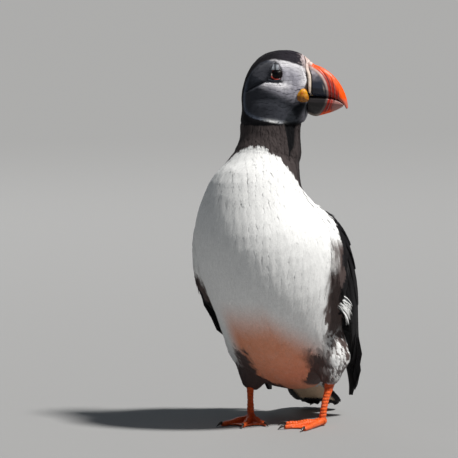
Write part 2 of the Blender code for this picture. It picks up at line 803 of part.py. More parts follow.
def main():
    for obj in list(bpy.data.objects):
        bpy.data.objects.remove(obj)
    body, head = body_frame(), head_frame()

    trunk = whole_body(body, head)
    thighs = {}
    for side in ("left", "right"):
        v, lean = leg_middle(side), foot_side(side)
        u, inward, radius, heights = THIGH_CUT
        region = [(u, v - inward * lean, z, radius) for z in heights]
        cutter = tube("thigh_region", region, body, 20)
        cutter.hide_render = True
        piece = trunk.copy()
        piece.data = trunk.data.copy()
        piece.name = f"thigh_{side}"
        bpy.context.scene.collection.objects.link(piece)
        boolean(piece, cutter, "INTERSECT")
        keep_largest(piece)
        clear_of(trunk, cutter)
        remove(cutter)
        thighs[side] = piece
    neck = halve(trunk, "neck", *NECK_CUT, body)
    head_piece = halve(neck, "head", *HEAD_CUT, body)

    bill_pieces = bill(head_piece, head)
    eye_pieces = eyes(head_piece, head)
    wings = [wing(side, trunk, body) for side in ("left", "right")]
    rump = tail(trunk, body)
    for each in wings:
        clear_of(each, rump)
    shanks = {side: tarsus(side, thighs[side], body) for side in thighs}
    feet = [piece for side in shanks for piece in foot(side, shanks[side], body)]

    paint([trunk, *thighs.values()], "white_feather", WHITE, 0.7)
    paint([head_piece], "grey_feather", GREY, 0.7)
    paint([neck, rump, *wings], "black_feather", BLACK, 0.6)
    paint([p for p in bill_pieces if "bill" in p.name], "bill_horn", ORANGE, 0.35)
    paint([p for p in bill_pieces if p.name == "cere"], "cere", CREAM, 0.5)
    paint([p for p in bill_pieces if "gape" in p.name], "gape_skin", YELLOW, 0.5)
    paint([p for p in eye_pieces if "plate" not in p.name], "eye", BLACK, 0.08)
    paint([p for p in eye_pieces if "plate" in p.name], "eye_plate", SLATE, 0.5)
    paint([*shanks.values(), *[p for p in feet if "foot" in p.name]], "leg_skin", ORANGE, 0.45)
    paint([p for p in feet if "claw" in p.name], "claw", BLACK, 0.3)
    slide_to_origin([body, head])


main()
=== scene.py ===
"""Atlantic puffin: skin, feathers, bill, eyes and legs over the solids, and the studio it stands in.

Everything is in metres, in the frame of the solids. Places on the head and the body are told in
millimetres along the bird's own axes:
  head axes   f towards the bill, s to the bird's left, h up
  body axes   u towards the breast, v to the bird's left, z up from the floor
Colours are linear red, green and blue.
"""

import math
from collections import namedtuple

import bpy
import numpy as np
from mathutils import Matrix, Vector, noise
from mathutils.bvhtree import BVHTree
from mathutils.kdtree import KDTree


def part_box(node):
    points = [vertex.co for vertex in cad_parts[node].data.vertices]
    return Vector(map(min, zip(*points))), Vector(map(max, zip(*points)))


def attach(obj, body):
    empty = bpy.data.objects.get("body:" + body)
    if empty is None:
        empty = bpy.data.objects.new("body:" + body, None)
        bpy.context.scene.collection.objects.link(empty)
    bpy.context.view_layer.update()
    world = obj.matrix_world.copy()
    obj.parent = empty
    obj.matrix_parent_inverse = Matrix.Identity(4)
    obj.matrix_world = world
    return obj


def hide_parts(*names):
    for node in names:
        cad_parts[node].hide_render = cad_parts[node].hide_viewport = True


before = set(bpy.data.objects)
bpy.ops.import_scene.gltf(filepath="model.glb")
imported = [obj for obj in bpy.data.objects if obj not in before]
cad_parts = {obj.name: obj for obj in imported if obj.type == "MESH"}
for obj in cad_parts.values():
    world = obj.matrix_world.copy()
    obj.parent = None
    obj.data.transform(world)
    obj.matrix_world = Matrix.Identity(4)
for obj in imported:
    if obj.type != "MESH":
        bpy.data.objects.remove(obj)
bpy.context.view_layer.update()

MM = 0.001
SIDES = {"left": 1, "right": -1}
WINGS = ("wing_left", "wing_right")
FLESH = ("trunk", "neck", "head", "thigh_left", "thigh_right", *WINGS, "tail")


# ---- Axes ----


class Axes:
    """Forward, left and up from an origin, with places told in millimetres."""

    def __init__(self, origin, yaw, pitch=0.0):
        yaw, pitch = math.radians(yaw), math.radians(pitch)
        level = np.array([math.cos(yaw), math.sin(yaw), 0.0])
        up = np.array([0.0, 0.0, 1.0])
        forward = level * math.cos(pitch) - up * math.sin(pitch)
        left = np.cross(up, level)
        self.rows = np.array([forward, left, np.cross(forward, left)])
        self.origin = np.array(origin)

    def read(self, points):
        """Millimetres forward, left and up of points in the world, as three arrays."""
        return ((np.asarray(points) - self.origin) @ self.rows.T / MM).T

    def place(self, *millimetres):
        return np.stack(np.broadcast_arrays(*millimetres), -1) @ self.rows * MM + self.origin

    def way(self, *parts):
        return np.stack(np.broadcast_arrays(*parts), -1) @ self.rows


BODY = Axes((-0.00734, -0.02238, 0.0), yaw=-112)
HEAD = Axes((-0.00184, -0.02138, 0.242), yaw=-10, pitch=10)


# ---- Numbers ----


def ramp(value, none, full):
    """0 at none, 1 at full, held beyond them and smooth between. Either may be the higher."""
    t = np.clip((np.asarray(value, float) - none) / (full - none), 0, 1)
    return t * t * (3 - 2 * t)


def bump(value, middle, half_width):
    """1 in the middle, falling off to nothing on both sides."""
    return np.exp(-(((np.asarray(value, float) - middle) / half_width) ** 2))


def spot(x, y, middle, reach):
    """1 in the middle of an oval, falling off to nothing all round."""
    return bump(np.hypot((x - middle[0]) / reach[0], (y - middle[1]) / reach[1]), 0, 1)


def blend(a, b, share):
    share = np.clip(share, 0, 1)[..., None]
    return np.asarray(a) + (np.asarray(b) - np.asarray(a)) * share


def layered(colour, *layers):
    """A colour under others, each with its share."""
    for over, share in layers:
        colour = blend(colour, over, share)
    return colour


def unit(vectors):
    return vectors / np.maximum(np.linalg.norm(vectors, axis=-1, keepdims=True), 1e-12)


def off_line(x, y, line):
    """How far places in a plane are from a line through a few of its points."""
    found = np.full(np.shape(x), 1e9)
    for (ax, ay), (bx, by) in zip(line, line[1:]):
        along = ((x - ax) * (bx - ax) + (y - ay) * (by - ay)) / ((bx - ax) ** 2 + (by - ay) ** 2)
        along = np.clip(along, 0, 1)
        found = np.minimum(found, np.hypot(x - ax - along * (bx - ax), y - ay - along * (by - ay)))
    return found


def lumps(points, size, tall=1.0, seed=0):
    """Soft noise from about -1 to 1, in lumps of a size in millimetres that may be taller than wide."""
    scaled = np.asarray(points) / (np.array((1, 1, tall)) * size * MM) + 7.31 * (seed + 1)
    return np.array([noise.noise(p) for p in scaled.tolist()]) * 1.6


# ---- Objects ----


def new_object(name, data):
    obj = bpy.data.objects.new(name, data)
    bpy.context.scene.collection.objects.link(obj)
    return obj


def primitive(name, add, **settings):
    bpy.ops.object.select_all(action="DESELECT")
    add(**settings)
    bpy.context.object.name = name
    return bpy.context.object


def select_only(*objects):
    bpy.ops.object.select_all(action="DESELECT")
    for obj in objects:
        obj.select_set(True)
    bpy.context.view_layer.objects.active = objects[0]


def edit_all(obj, operation, **settings):
    """Runs an edit mode operation on the whole of a mesh."""
    select_only(obj)
    bpy.ops.object.mode_set(mode="EDIT")
    bpy.ops.mesh.select_all(action="SELECT")
    operation(**settings)
    bpy.ops.object.mode_set(mode="OBJECT")
    return obj


def apply_modifier(obj, kind, **settings):
    modifier = obj.modifiers.new(kind.lower(), kind)
    for name, value in settings.items():
        setattr(modifier, name, value)
    select_only(obj)
    bpy.ops.object.modifier_apply(modifier=modifier.name)


def copy_of(name, *nodes):
    """One new object from copies of solids, with their loose triangles merged."""
    copies = [new_object(name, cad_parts[node].data.copy()) for node in nodes]
    select_only(*copies)
    if len(copies) > 1:
        bpy.ops.object.join()
    return edit_all(copies[0], bpy.ops.mesh.remove_doubles, threshold=1e-6)


def lofted(name, rows):
    """A closed solid through rows that each hold the same number of places round it."""
    around = len(rows[0])
    points = [tuple(p) for row in rows for p in row]
    faces = [tuple(range(around)), tuple(len(points) - 1 - i for i in range(around))]
    for row in range(len(rows) - 1):
        for i in range(around):
            low, high = row * around, (row + 1) * around
            faces.append((low + i, high + i, high + (i + 1) % around, low + (i + 1) % around))
    mesh = bpy.data.meshes.new(name)
    mesh.from_pydata(points, [], faces)
    return edit_all(new_object(name, mesh), bpy.ops.mesh.normals_make_consistent, inside=False)


def refine(obj, voxel, softening, swell=0.0):
    """Melts a faceted piece into a fine even mesh, with sizes in millimetres."""
    if swell:
        apply_modifier(obj, "DISPLACE", mid_level=0, strength=swell * MM)
    apply_modifier(obj, "REMESH", mode="VOXEL", voxel_size=voxel * MM)
    apply_modifier(obj, "SMOOTH", factor=0.5, iterations=softening)
    obj.data.shade_smooth()
    return obj


def points_of(obj, what="co"):
    found = np.empty(len(obj.data.vertices) * 3)
    obj.data.vertices.foreach_get(what, found)
    return found.reshape(-1, 3)


def normals_of(obj):
    return points_of(obj, "normal")


def move_to(obj, points):
    obj.data.vertices.foreach_set("co", points.ravel())
    obj.data.update()


def raise_by(obj, millimetres):
    """Moves each point along its normal."""
    move_to(obj, points_of(obj) + normals_of(obj) * (np.asarray(millimetres) * MM)[:, None])


def done(obj, colours, material, slot, *nodes):
    """Gives a piece its tint at each point, its material and its body, and hides the solids it stands for.
    """
    layer = obj.data.color_attributes.new("tint", "FLOAT_COLOR", "POINT")
    opaque = np.ones((len(colours), 4))
    opaque[:, :3] = np.clip(colours, 0, 1)
    layer.data.foreach_set("color", opaque.ravel())
    obj.data.materials.clear()
    obj.data.materials.append(material)
    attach(obj, "root")
    if nodes:
        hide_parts(*nodes)


# ---- Material groups ----


def feed(tree, socket, value):
    if isinstance(value, bpy.types.NodeSocket):
        tree.links.new(value, socket)
    else:
        socket.default_value = value


def math_node(tree, operation, *values):
    made = tree.nodes.new("ShaderNodeMath")
    made.operation = operation
    for socket, value in zip(made.inputs, values):
        feed(tree, socket, value)
    return made.outputs[0]


def texture(tree, kind, fineness):
    made = tree.nodes.new(f"ShaderNodeTex{kind}")
    feed(tree, made.inputs["Vector"], tree.nodes.new("ShaderNodeTexCoord").outputs["Object"])
    feed(tree, made.inputs["Scale"], fineness)
    return made


def mottle(tree, fineness, depth):
    """Soft lumps and fine grain."""
    grain = texture(tree, "Noise", fineness)
    grain.inputs["Detail"].default_value = 6.0
    centred = math_node(tree, "SUBTRACT", grain.outputs["Fac"], 0.5)
    return math_node(tree, "MULTIPLY_ADD", centred, depth, 1.0), grain.outputs["Fac"]


def scales(tree, fineness, depth):
    """Small rounded scales with dark creases between them."""
    cells = texture(tree, "Voronoi", fineness)
    cells.feature = "DISTANCE_TO_EDGE"
    dome = tree.nodes.new("ShaderNodeMapRange")
    dome.interpolation_type = "SMOOTHSTEP"
    feed(tree, dome.inputs["Value"], cells.outputs["Distance"])
    dome.inputs["From Max"].default_value = 0.16
    hollow = math_node(tree, "SUBTRACT", 1.0, dome.outputs["Result"])
    dark = math_node(tree, "MULTIPLY", hollow, depth)
    return math_node(tree, "SUBTRACT", 1.0, dark), dome.outputs["Result"]


def barbs(tree, fineness, depth):
    """Fine barbs that slant away from a feather's shaft, and the shaft itself."""
    vane = tree.nodes.new("ShaderNodeUVMap")
    vane.uv_map = "vane"
    parts = tree.nodes.new("ShaderNodeSeparateXYZ")
    feed(tree, parts.inputs[0], vane.outputs["UV"])
    aside = math_node(tree, "ABSOLUTE", math_node(tree, "SUBTRACT", parts.outputs["Y"], 0.5))
    slanted = math_node(tree, "SUBTRACT", parts.outputs["X"], math_node(tree, "MULTIPLY", aside, 0.5))
    turns = math_node(tree, "MULTIPLY", slanted, math_node(tree, "MULTIPLY", fineness, math.tau))
    wave = math_node(tree, "SINE", turns)
    return math_node(tree, "MULTIPLY_ADD", wave, depth, 1.0), wave


def shader_group(effect):
    """A group that lightens and darkens a colour by one of the effects, and puts out its height."""
    tree = bpy.data.node_groups.new(effect.__name__, "ShaderNodeTree")
    for way, sockets in (("INPUT", "Colour Fineness Depth"), ("OUTPUT", "Colour Height")):
        for socket in sockets.split():
            kind = "NodeSocketColor" if socket == "Colour" else "NodeSocketFloat"
            tree.interface.new_socket(socket, in_out=way, socket_type=kind)
    given = tree.nodes.new("NodeGroupInput").outputs
    out = tree.nodes.new("NodeGroupOutput").inputs
    light, height = effect(tree, given["Fineness"], given["Depth"])
    lit = tree.nodes.new("ShaderNodeVectorMath")
    lit.operation = "SCALE"
    feed(tree, lit.inputs[0], given["Colour"])
    feed(tree, lit.inputs["Scale"], light)
    feed(tree, out["Colour"], lit.outputs[0])
    feed(tree, out["Height"], height)
    return tree


MOTTLE, SCALES, BARBS = (shader_group(effect) for effect in (mottle, scales, barbs))


def finish_of(name, *effects, **constants):
    """A material: the painted tint through a chain of effects, each with its own bump.

    Each effect is its group, fineness, depth, and the height of its bump in millimetres.
    """
    material = bpy.data.materials.new(name)
    material.use_nodes = True
    tree = material.node_tree
    surface = tree.nodes["Principled BSDF"]
    for socket, value in constants.items():
        surface.inputs[socket.replace("_", " ")].default_value = value
    tint = tree.nodes.new("ShaderNodeAttribute")
    tint.attribute_name = "tint"
    colour, normal = tint.outputs["Color"], None
    for group, fineness, depth, height in effects:
        effect = tree.nodes.new("ShaderNodeGroup")
        effect.node_tree = group
        for socket, value in zip(effect.inputs, (colour, fineness, depth)):
            feed(tree, socket, value)
        colour = effect.outputs["Colour"]
        rise = tree.nodes.new("ShaderNodeBump")
        rise.inputs["Distance"].default_value = height * MM
        feed(tree, rise.inputs["Height"], effect.outputs["Height"])
        if normal:
            feed(tree, rise.inputs["Normal"], normal)
        normal = rise.outputs["Normal"]
    feed(tree, surface.inputs["Base Color"], colour)
    feed(tree, surface.inputs["Normal"], normal)
    return material


SOFT_FEATHER = finish_of(
    "soft_feather",
    (MOTTLE, 700.0, 0.10, 0.02),
    (BARBS, 7.0, 0.04, 0.01),
    Roughness=0.75,
    Sheen_Weight=0.015,
    Sheen_Roughness=0.5,
    Specular_IOR_Level=0.12,
)
FLIGHT_FEATHER = finish_of(
    "flight_feather",
    (MOTTLE, 260.0, 0.35, 0.05),
    (BARBS, 34.0, 0.10, 0.04),
    Roughness=0.60,
    Sheen_Weight=0.01,
    Specular_IOR_Level=0.09,
)
DOWN = finish_of("down", (MOTTLE, 900.0, 0.5, 0.3), Roughness=0.9)
BILL_HORN = finish_of(
    "bill_horn",
    (MOTTLE, 520.0, 0.22, 0.05),
    Roughness=0.40,
    Specular_IOR_Level=0.25,
    Coat_Weight=0.04,
    Coat_Roughness=0.25,
)
CERE_SKIN = finish_of("cere_skin", (MOTTLE, 1500.0, 0.3, 0.12), Roughness=0.55)
GAPE_SKIN = finish_of(
    "gape_skin",
    (MOTTLE, 700.0, 0.4, 0.2),
    Roughness=0.5,
    Subsurface_Weight=0.15,
    Subsurface_Scale=0.0015,
)
PLATE_HORN = finish_of("plate_horn", (MOTTLE, 1200.0, 0.4, 0.1), Roughness=0.5)
LID_SKIN = finish_of("lid_skin", (MOTTLE, 1600.0, 0.4, 0.08), Roughness=0.45)
LEG_SKIN = finish_of(
    "leg_skin",
    (MOTTLE, 240.0, 0.3, 0.1),
    (SCALES, 1050.0, 0.22, 0.16),
    Roughness=0.46,
    Coat_Weight=0.08,
)
CLAW_HORN = finish_of("claw_horn", (MOTTLE, 900.0, 0.4, 0.05), Roughness=0.3)
EYE_GLOSS = finish_of(
    "eye_gloss",
    (MOTTLE, 1800.0, 0.5, 0.0),
    Roughness=0.35,
    Specular_IOR_Level=0.1,
    Coat_Weight=0.06,
    Coat_Roughness=0.12,
)


# ---- Markings ----

WHITE = (0.85, 0.85, 0.84)
BELLY = (0.70, 0.29, 0.17)
UNDER_TAIL = (0.85, 0.62, 0.42)
BLACK = (0.011, 0.010, 0.012)
WING_BLACK = (0.007, 0.006, 0.007)
# brown-grey of the collar in front: partly its own brownish black, partly painted sheen where the sun
# catches it
COLLAR_BROWN_AND_SHEEN = (0.060, 0.048, 0.047)
# painted shade in the fold down the left of the neck
FOLD_SHADE = (0.004, 0.004, 0.005)
CROWN = (0.022, 0.019, 0.026)
BROWN = (0.085, 0.062, 0.058)
FACE = (0.36, 0.35, 0.40)
# darker grey of the face, partly its own grey and partly painted shade
FACE_GREY_AND_SHADE = (0.024, 0.027, 0.035)
# palest face, partly its own near-white and partly painted light where the sun catches it
FACE_PALE_AND_LIT = (0.84, 0.82, 0.85)
# painted bluish skylight along the edge of the disc where the face is in shade
FACE_RIM_SKYLIGHT = (0.13, 0.155, 0.21)
# near-black under the gape: partly the chin's own dark grey, partly painted shade
CHIN = (0.010, 0.012, 0.016)
BARE_SKIN = (0.60, 0.50, 0.50)
CERE_SEAM = (0.055, 0.033, 0.025)
CREASE = (0.012, 0.013, 0.018)

# f, h of places on the head
EYE_AT = (2.8, 12.6)
GAPE_AT = (21.8, -0.8)  # the corner of the mouth
FACE_MIDDLE = (3.0, -0.5)  # of the pale disc on each side of the head
FACE_HEIGHT, FACE_REAR, FACE_FRONT = 21.7, 22.0, 30.0
ROUND_ABOVE, ROUND_BELOW = 2.4, 4.0  # the disc's lower corner is squarer
NAPE_BAND = 10.5  # half width of the black between the two discs
FURROW = [(-0.6, 7.2), (-9, 1.9), (-17, -4)]  # the crease that runs back from the eye
EYE_RIM = [(-5, 18.7), (-1, 19.4), (2.8, 18.0), (5.4, 15.4), (6.4, 12.8)]  # the dark line over the eye
CHIN_FOLD = [(22.4, -5), (16, -13.5), (13.2, -22)]  # where the cheek meets the dark chin
COLLAR_HIGH, COLLAR_FALL, COLLAR_TURN = 202.5, 35.0, 105.0  # its edge sinks as it goes round
COLLAR_TURNS_AT = 205  # z of the place on the spine that it goes round
SPINE = {24: -70, 57: -38, 96: -14, 143: 8, 168: 12, 205: 1}  # u of the body's middle at each z
SPINE_V = 1.5  # and its v
OUTSIDE = 0.12  # metres from the spine to places well outside the body
LEGS_MIDDLE = 8.8  # v midway between the legs
TAIL_FAN_FROM = (-10, 2, 65)  # u, v, z of the place that the tail feathers fan out from


def on(nodes, *names):
    """Which of some numbers of nodes, as in FLESH, are those of the named parts."""
    return np.isin(nodes, [FLESH.index(name) for name in names])


def spine_at(z):
    return np.interp(z, list(SPINE), list(SPINE.values()))


def round_the_body(u, v, z):
    """Degrees from the middle of the breast towards either side."""
    return np.degrees(np.arctan2(abs(v - SPINE_V), u - spine_at(z)))


def body_places(points):
    u, v, z = BODY.read(points)
    return u, v, z, round_the_body(u, v, z)


def in_fold(u, v, z):
    """Millimetres outside the long wedge of shade down the left of the neck, less than 0 inside."""
    middle = np.interp(z, [190, 204, 216], [13.0, 8.8, 7.2])
    width = np.interp(z, [187, 192, 204, 216], [-1.5, 1.6, 4.6, 6.8])
    return np.where(v > 12, abs(u - middle) - width, 20.0)


def inside_face(f, h):
    """Millimetres inside the edge of the pale disc."""
    length = np.where(f < FACE_MIDDLE[0], FACE_REAR, FACE_FRONT)
    power = np.where(h < FACE_MIDDLE[1], ROUND_BELOW, ROUND_ABOVE)
    x, y = abs(f - FACE_MIDDLE[0]) / length, abs(h - FACE_MIDDLE[1]) / FACE_HEIGHT
    return (1 - (x**power + y**power) ** (1 / power)) * FACE_HEIGHT


def past_chin_fold(f, h):
    heights = [p[1] for p in CHIN_FOLD[::-1]]
    return f - np.interp(h, heights, [p[0] for p in CHIN_FOLD[::-1]])


def past_cere_seam(f, h):
    """Millimetres ahead of the line where the feathers of the face end at the cere."""
    return f - np.interp(h, [-24, 0, 4, 10, 14, 17, 24], [31.8, 24.6, 22.8, 23.6, 21.6, 19.7, 16.5])


def under_furrow(f, h):
    """Millimetres below the crease that runs back from the eye, and below the plate under it."""
    return np.interp(f, [-17, -0.6, 8], [-4, 7.2, 6.7]) - h


def head_colours(points):
    f, s, h = HEAD.read(points)
    inside, seam, under = inside_face(f, h), past_cere_seam(f, h), under_furrow(f, h)
    behind = ramp(f, 4.5, -3) * ramp(under, 1.6, 0.3) * (1 - ramp(h, 18.6, 19.8) * ramp(f, -10, -4))
    low = ramp(h + 0.28 * f, 4.5, -4.0)
    top_edge = bump(inside, 0, 4) * ramp(h, 8, 14)
    front_edge = ramp(seam, -6, -1) * ramp(h, 4, 9)
    under_eye = bump(under, 2.2, 3.0) * ramp(f, -9, -2) * ramp(f, 16, 9)
    streaked = ramp(lumps(points, 2.2, 2, 9), -0.4, 0.6) * spot(f, h, (12, 8), (9, 9))
    crease = ramp(under, 1.1, 0.2) * ramp(under, -0.9 - 1.4 * ramp(f, -10, 1), 0)
    under_chin = ramp(f, 12, 17) * ramp(h, -8, -13)
    face = layered(
        FACE,
        # painted light over the face's own near-white, along the top edge, by the cere and under the eye
        (FACE_PALE_AND_LIT, np.maximum.reduce([top_edge, front_edge, under_eye])),
        # painted shade over the face's own grey on the lower cheek and behind the eye, and darker streaks
        # ahead of the eye
        (FACE_GREY_AND_SHADE, 0.96 * low + 0.9 * behind + 0.28 * streaked),
        # painted bluish skylight along the edge of the disc, only where it is in shade
        (FACE_RIM_SKYLIGHT, 0.7 * bump(inside, 0.8, 1.2) * np.maximum(low, behind)),
        (CREASE, 0.85 * bump(off_line(f, h, EYE_RIM), 0, 0.5) * ramp(f, -5, 0)),
        (CREASE, 0.95 * crease * ramp(f, 9, 7) * ramp(f, -17, -12)),
        # the chin's own dark grey, deepened by painted shade under the gape
        (CHIN, ramp(past_chin_fold(f, h), -2.0, 1.2) * ramp(h, -2, -7)),
        # painted highlight where the lower edge of the disc catches the light
        (WHITE, 0.9 * spot(f, h, (6.5, -21.6), (5.5, 1.3))),
        # painted light on a strip at the front edge of the chin
        (FACE, 0.45 * spot(f, h, (25.5, -17), (2.0, 5))),
        (FACE, 0.9 * under_chin * ramp(abs(s), 5, 2.5)),
    )
    speckled = f + 0.5 * h + 2.2 * lumps(points, 0.8)
    cap = layered(
        BLACK,
        (CROWN, ramp(f, -10, 10) * ramp(h, 10, 20)),
        (BARE_SKIN, ramp(speckled, 26.4, 30.4) * ramp(h, 15, 20)),
    )
    side = ramp(abs(s), NAPE_BAND - 1.5, NAPE_BAND + 1.5)
    side = np.maximum.reduce([side, ramp(f, -2, 6) * ramp(abs(s), 2.5, 5.5), under_chin])
    dark = ramp(seam, -0.2, 0.3) * (0.3 + 0.7 * ramp(h, 18, 13)) * ramp(h, 25, 22) * ramp(h, -4, -1)
    return layered(cap, (face, ramp(inside, -0.4, 0.6) * side), (CERE_SEAM, dark))


def brown_edge(z):
    """Degrees round the body where the flank turns brown."""
    return 60 + 0.52 * np.maximum(z - 80, 0) + 3 * ramp(z, 112, 124)


def black_edge(v, z):
    """Degrees round the body where the black of the back starts, sooner low on the flanks."""
    right = 12 * ramp(v, 0, -10) * ramp(z, 70, 84) * ramp(z, 128, 112)
    left = 9 * ramp(v, 0, 10) * ramp(z, 82, 90) * ramp(z, 113, 99)
    rising = 0.8 * np.clip(z - 118, 0, 32) + 0.5 * np.maximum(75 - z, 0) + 10 * ramp(z, 150, 158)
    return 87 + rising - right - left


def inner_leg(v, z):
    """1 on the dark patch inside the top of each leg."""
    out = abs(v - LEGS_MIDDLE)
    return ramp(out, 16, 23) * ramp(out, 37, 31) * ramp(z, 61, 50)


def body_colours(points):
    """White in front, black behind, under a black collar, with an orange-brown lower belly."""
    u, v, z, angle = body_places(points)
    ragged = lumps(points, 3.2, 3.2)
    height = z + np.maximum(v - 14, 0)
    # orange-brown low on the front of the belly, fading upwards and round the sides
    belly_tint = ramp(height, 98, 62) * ramp(abs(v - LEGS_MIDDLE), 36, 21) * ramp(angle, 84, 66)
    low = ramp(z, 76, 58)
    spread = 3 + 3 * ramp(z, 100, 84) + 13 * low
    brown = ramp(angle + spread * ragged, brown_edge(z) - 5, brown_edge(z) + 3) * ramp(z, 138, 129)
    black = black_edge(v, z)
    # the collar: brown-grey with painted sheen in front, black towards the back, and painted shade in the
    # fold down the left of the neck
    collar = layered(
        COLLAR_BROWN_AND_SHEEN, (BLACK, ramp(angle, 75, 130)), (FOLD_SHADE, ramp(in_fold(u, v, z), 0.4, -0.5))
    )
    turn = round_the_body(u, v - SPINE_V, COLLAR_TURNS_AT)
    above = z - COLLAR_HIGH + COLLAR_FALL * ramp(turn, 0, COLLAR_TURN)
    fringe = 1.5 * ragged + 1.3 * lumps(points, 1.6, 2.5, 5)
    return layered(
        WHITE,
        (BELLY, belly_tint * (0.98 + 0.04 * ragged)),
        (BROWN, brown * (1 - 0.75 * low * ramp(ragged, 0.1, 0.4))),
        (BROWN, inner_leg(v + 2.5 * ragged, z + 5 * ragged)),
        # painted shade: brown low behind the legs, where the underside lies in shade
        (BROWN, ramp(z, 44, 36) * ramp(abs(v - LEGS_MIDDLE), 6, 10) * ramp(u, -22, -30)),
        (BLACK, ramp(angle + 2 * ragged, black, black + 3)),
        (collar, ramp(above + fringe, -0.5, 0.5)),
    )


def thigh_colours(points, side):
    """Pale outside, dark brown inside and behind, with streaks between."""
    u, v, z = BODY.read(points)
    ragged = lumps(points, 3.0, 3.4)
    out = SIDES[side] * (v - LEGS_MIDDLE)
    dark = ramp(-out + 4 * ragged, -36, -29) * ramp(z, 64, 53)
    behind = ramp(-(u + 25) + 6 * ragged, 0, 7)
    low = ramp(-z + 5 * ragged, -36, -29) if side == "left" else ramp(-z + 3 * ragged, -46, -38)
    outer = 0.4 * ramp(out, 29, 37)
    streaks = 0.9 * ramp(lumps(points, 1.2, 9, 3) + outer, 0.1, 0.5) * ramp(z, 70, 50)
    return blend(WHITE, BROWN, np.maximum.reduce([dark, behind, low, streaks]))


def along_tail(points):
    """Millimetres from where the tail feathers fan out, seen from the side."""
    u, v, z = BODY.read(points)
    return np.hypot(u - TAIL_FAN_FROM[0], z - TAIL_FAN_FROM[2])


def under_tail(points):
    """1 where the pale feathers under the tail cover it."""
    u, v, z = BODY.read(points)
    below = 0.555 * (u + 64) - 0.832 * (z - 31)
    return ramp(below, -0.2, 0.6) * ramp(abs(v - 3), 14, 11.5) * ramp(along_tail(points), 103, 99)


def plumage(points, nodes):
    """The colour of every feathered place, the same on the skin and on what grows from it."""
    points = np.asarray(points)
    found = np.tile(WING_BLACK, (len(points), 1))
    u, v, z, angle = body_places(points)
    here = on(nodes, "trunk", "neck") | on(nodes, *WINGS) & (z > 88) & (angle < black_edge(v, z) + 2)
    found[here] = body_colours(points[here])
    here = on(nodes, "head")
    found[here] = head_colours(points[here])
    here = on(nodes, "tail")
    found[here] = blend(found[here], UNDER_TAIL, under_tail(points[here]))
    for side in SIDES:
        here = on(nodes, f"thigh_{side}")
        found[here] = thigh_colours(points[here], side)
    return found


# ---- Skin ----

# in millimetres
COAT_DEPTHS = np.array([1.7, 1.2, 0.6, 1.0, 1.0, 0.5, 0.5, 0.3])  # over each part in FLESH
SKIN_VOXEL = 0.95
SKIN_SWELL = 0.45  # closes the gaps between the solids before they melt together

UNDER_COAT_LIGHT = 0.88  # how light the skin is beside the coat over it


def tree_of(*names):
    """A search tree over solids, and which of them each of its triangles is from."""
    points, faces, owners = [], [], []
    for index, name in enumerate(names):
        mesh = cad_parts[name].data
        start = len(points)
        points += [v.co[:] for v in mesh.vertices]
        faces += [[start + i for i in p.vertices] for p in mesh.polygons]
        owners += [index] * len(mesh.polygons)
    return BVHTree.FromPolygons(points, faces), np.array(owners)


def depths(tree, starts, ways):
    """How far along each line it meets a solid, or None."""
    return [tree.ray_cast(Vector(s), Vector(w))[3] for s, w in zip(starts, ways)]


FLESH_TREE, FLESH_OWNERS = tree_of(*FLESH)


def nodes_at(points):
    """Which solid of flesh is nearest to each place, as its number in FLESH."""
    return FLESH_OWNERS[[FLESH_TREE.find_nearest(p)[2] for p in points.tolist()]]


def face_folds(points):
    """How far the skin of the face stands out or sinks, in millimetres."""
    f, s, h = HEAD.read(points)
    sides = ramp(abs(s), 7, 10)
    under = under_furrow(f, h)
    cheek = 1.3 * spot(f, h, (1, -3.5), (16, 9.5)) * ramp(under - 1.2 - 0.6 * ramp(f, -3, 0), -1.5, 1.2)
    creases = -1.3 * bump(off_line(f, h, FURROW), 0, 1.2) - 0.9 * bump(off_line(f, h, CHIN_FOLD), 0, 1.5)
    temple = -0.7 * spot(f, h, (-5, 9), (6, 5)) * ramp(under, 1, -1)
    round_eye = 0.2 * bump(np.hypot(f - EYE_AT[0], h - EYE_AT[1] + 0.3), 5.2, 0.9)
    plate = -0.1 * ramp(abs(h - 7.0), 1.5, 0.8) * ramp(abs(f - 1.8), 5.5, 4.5)
    seam = 0.7 * ramp(past_cere_seam(f, h), -2.2, -0.4) * ramp(h, 2, 8)
    chin = 1.3 * spot(f, h, (24.5, -18), (4, 6))
    return (cheek + creases + temple + round_eye + plate) * sides + seam + chin


def nape_fill(points):
    """Fullness where the back of the head runs down into the neck, in millimetres."""
    f, s, h = HEAD.read(points)
    return 1.9 * spot(f, h, (-15, -27), (8, 11))


def neck_fold(points):
    """The fold down the left of the neck where the turned head gathers the skin."""
    u, v, z = BODY.read(points)
    aside = in_fold(u, v, z)
    groove = 0.5 * bump(aside, 1.8, 1.5) - 2.2 * ramp(aside, 0.6, -1.4)
    fullness = 1.7 * bump(z, 195, 8) * ramp(v, 16, 21) * ramp(u, 9, 4)
    return groove * ramp(z, 188, 193) * ramp(v, 12, 16) + fullness


def draw_down_legs(points, nodes):
    """Draws the bottom of each thigh down round the top of its leg."""
    for side, drop, middle in (("left", 3.8, 39.2), ("right", 9.5, -21.3)):
        here = on(nodes, f"thigh_{side}")
        u, v, z = BODY.read(points[here])
        away = np.hypot(u + 24, v - middle)
        points[here] = BODY.place(u, v, z - drop * ramp(away, 12, 2.5) * ramp(z, 48, 37))


TIP_FROM, TIP_TO = 17, 45  # heights on the end of a wing
WING_TIPS = {  # u, v of its middle line there
    "left": ((-73.7, 34.6), (-64.5, 40.5)),
    "right": ((-75.9, -27.2), (-66.5, -34.5)),
}


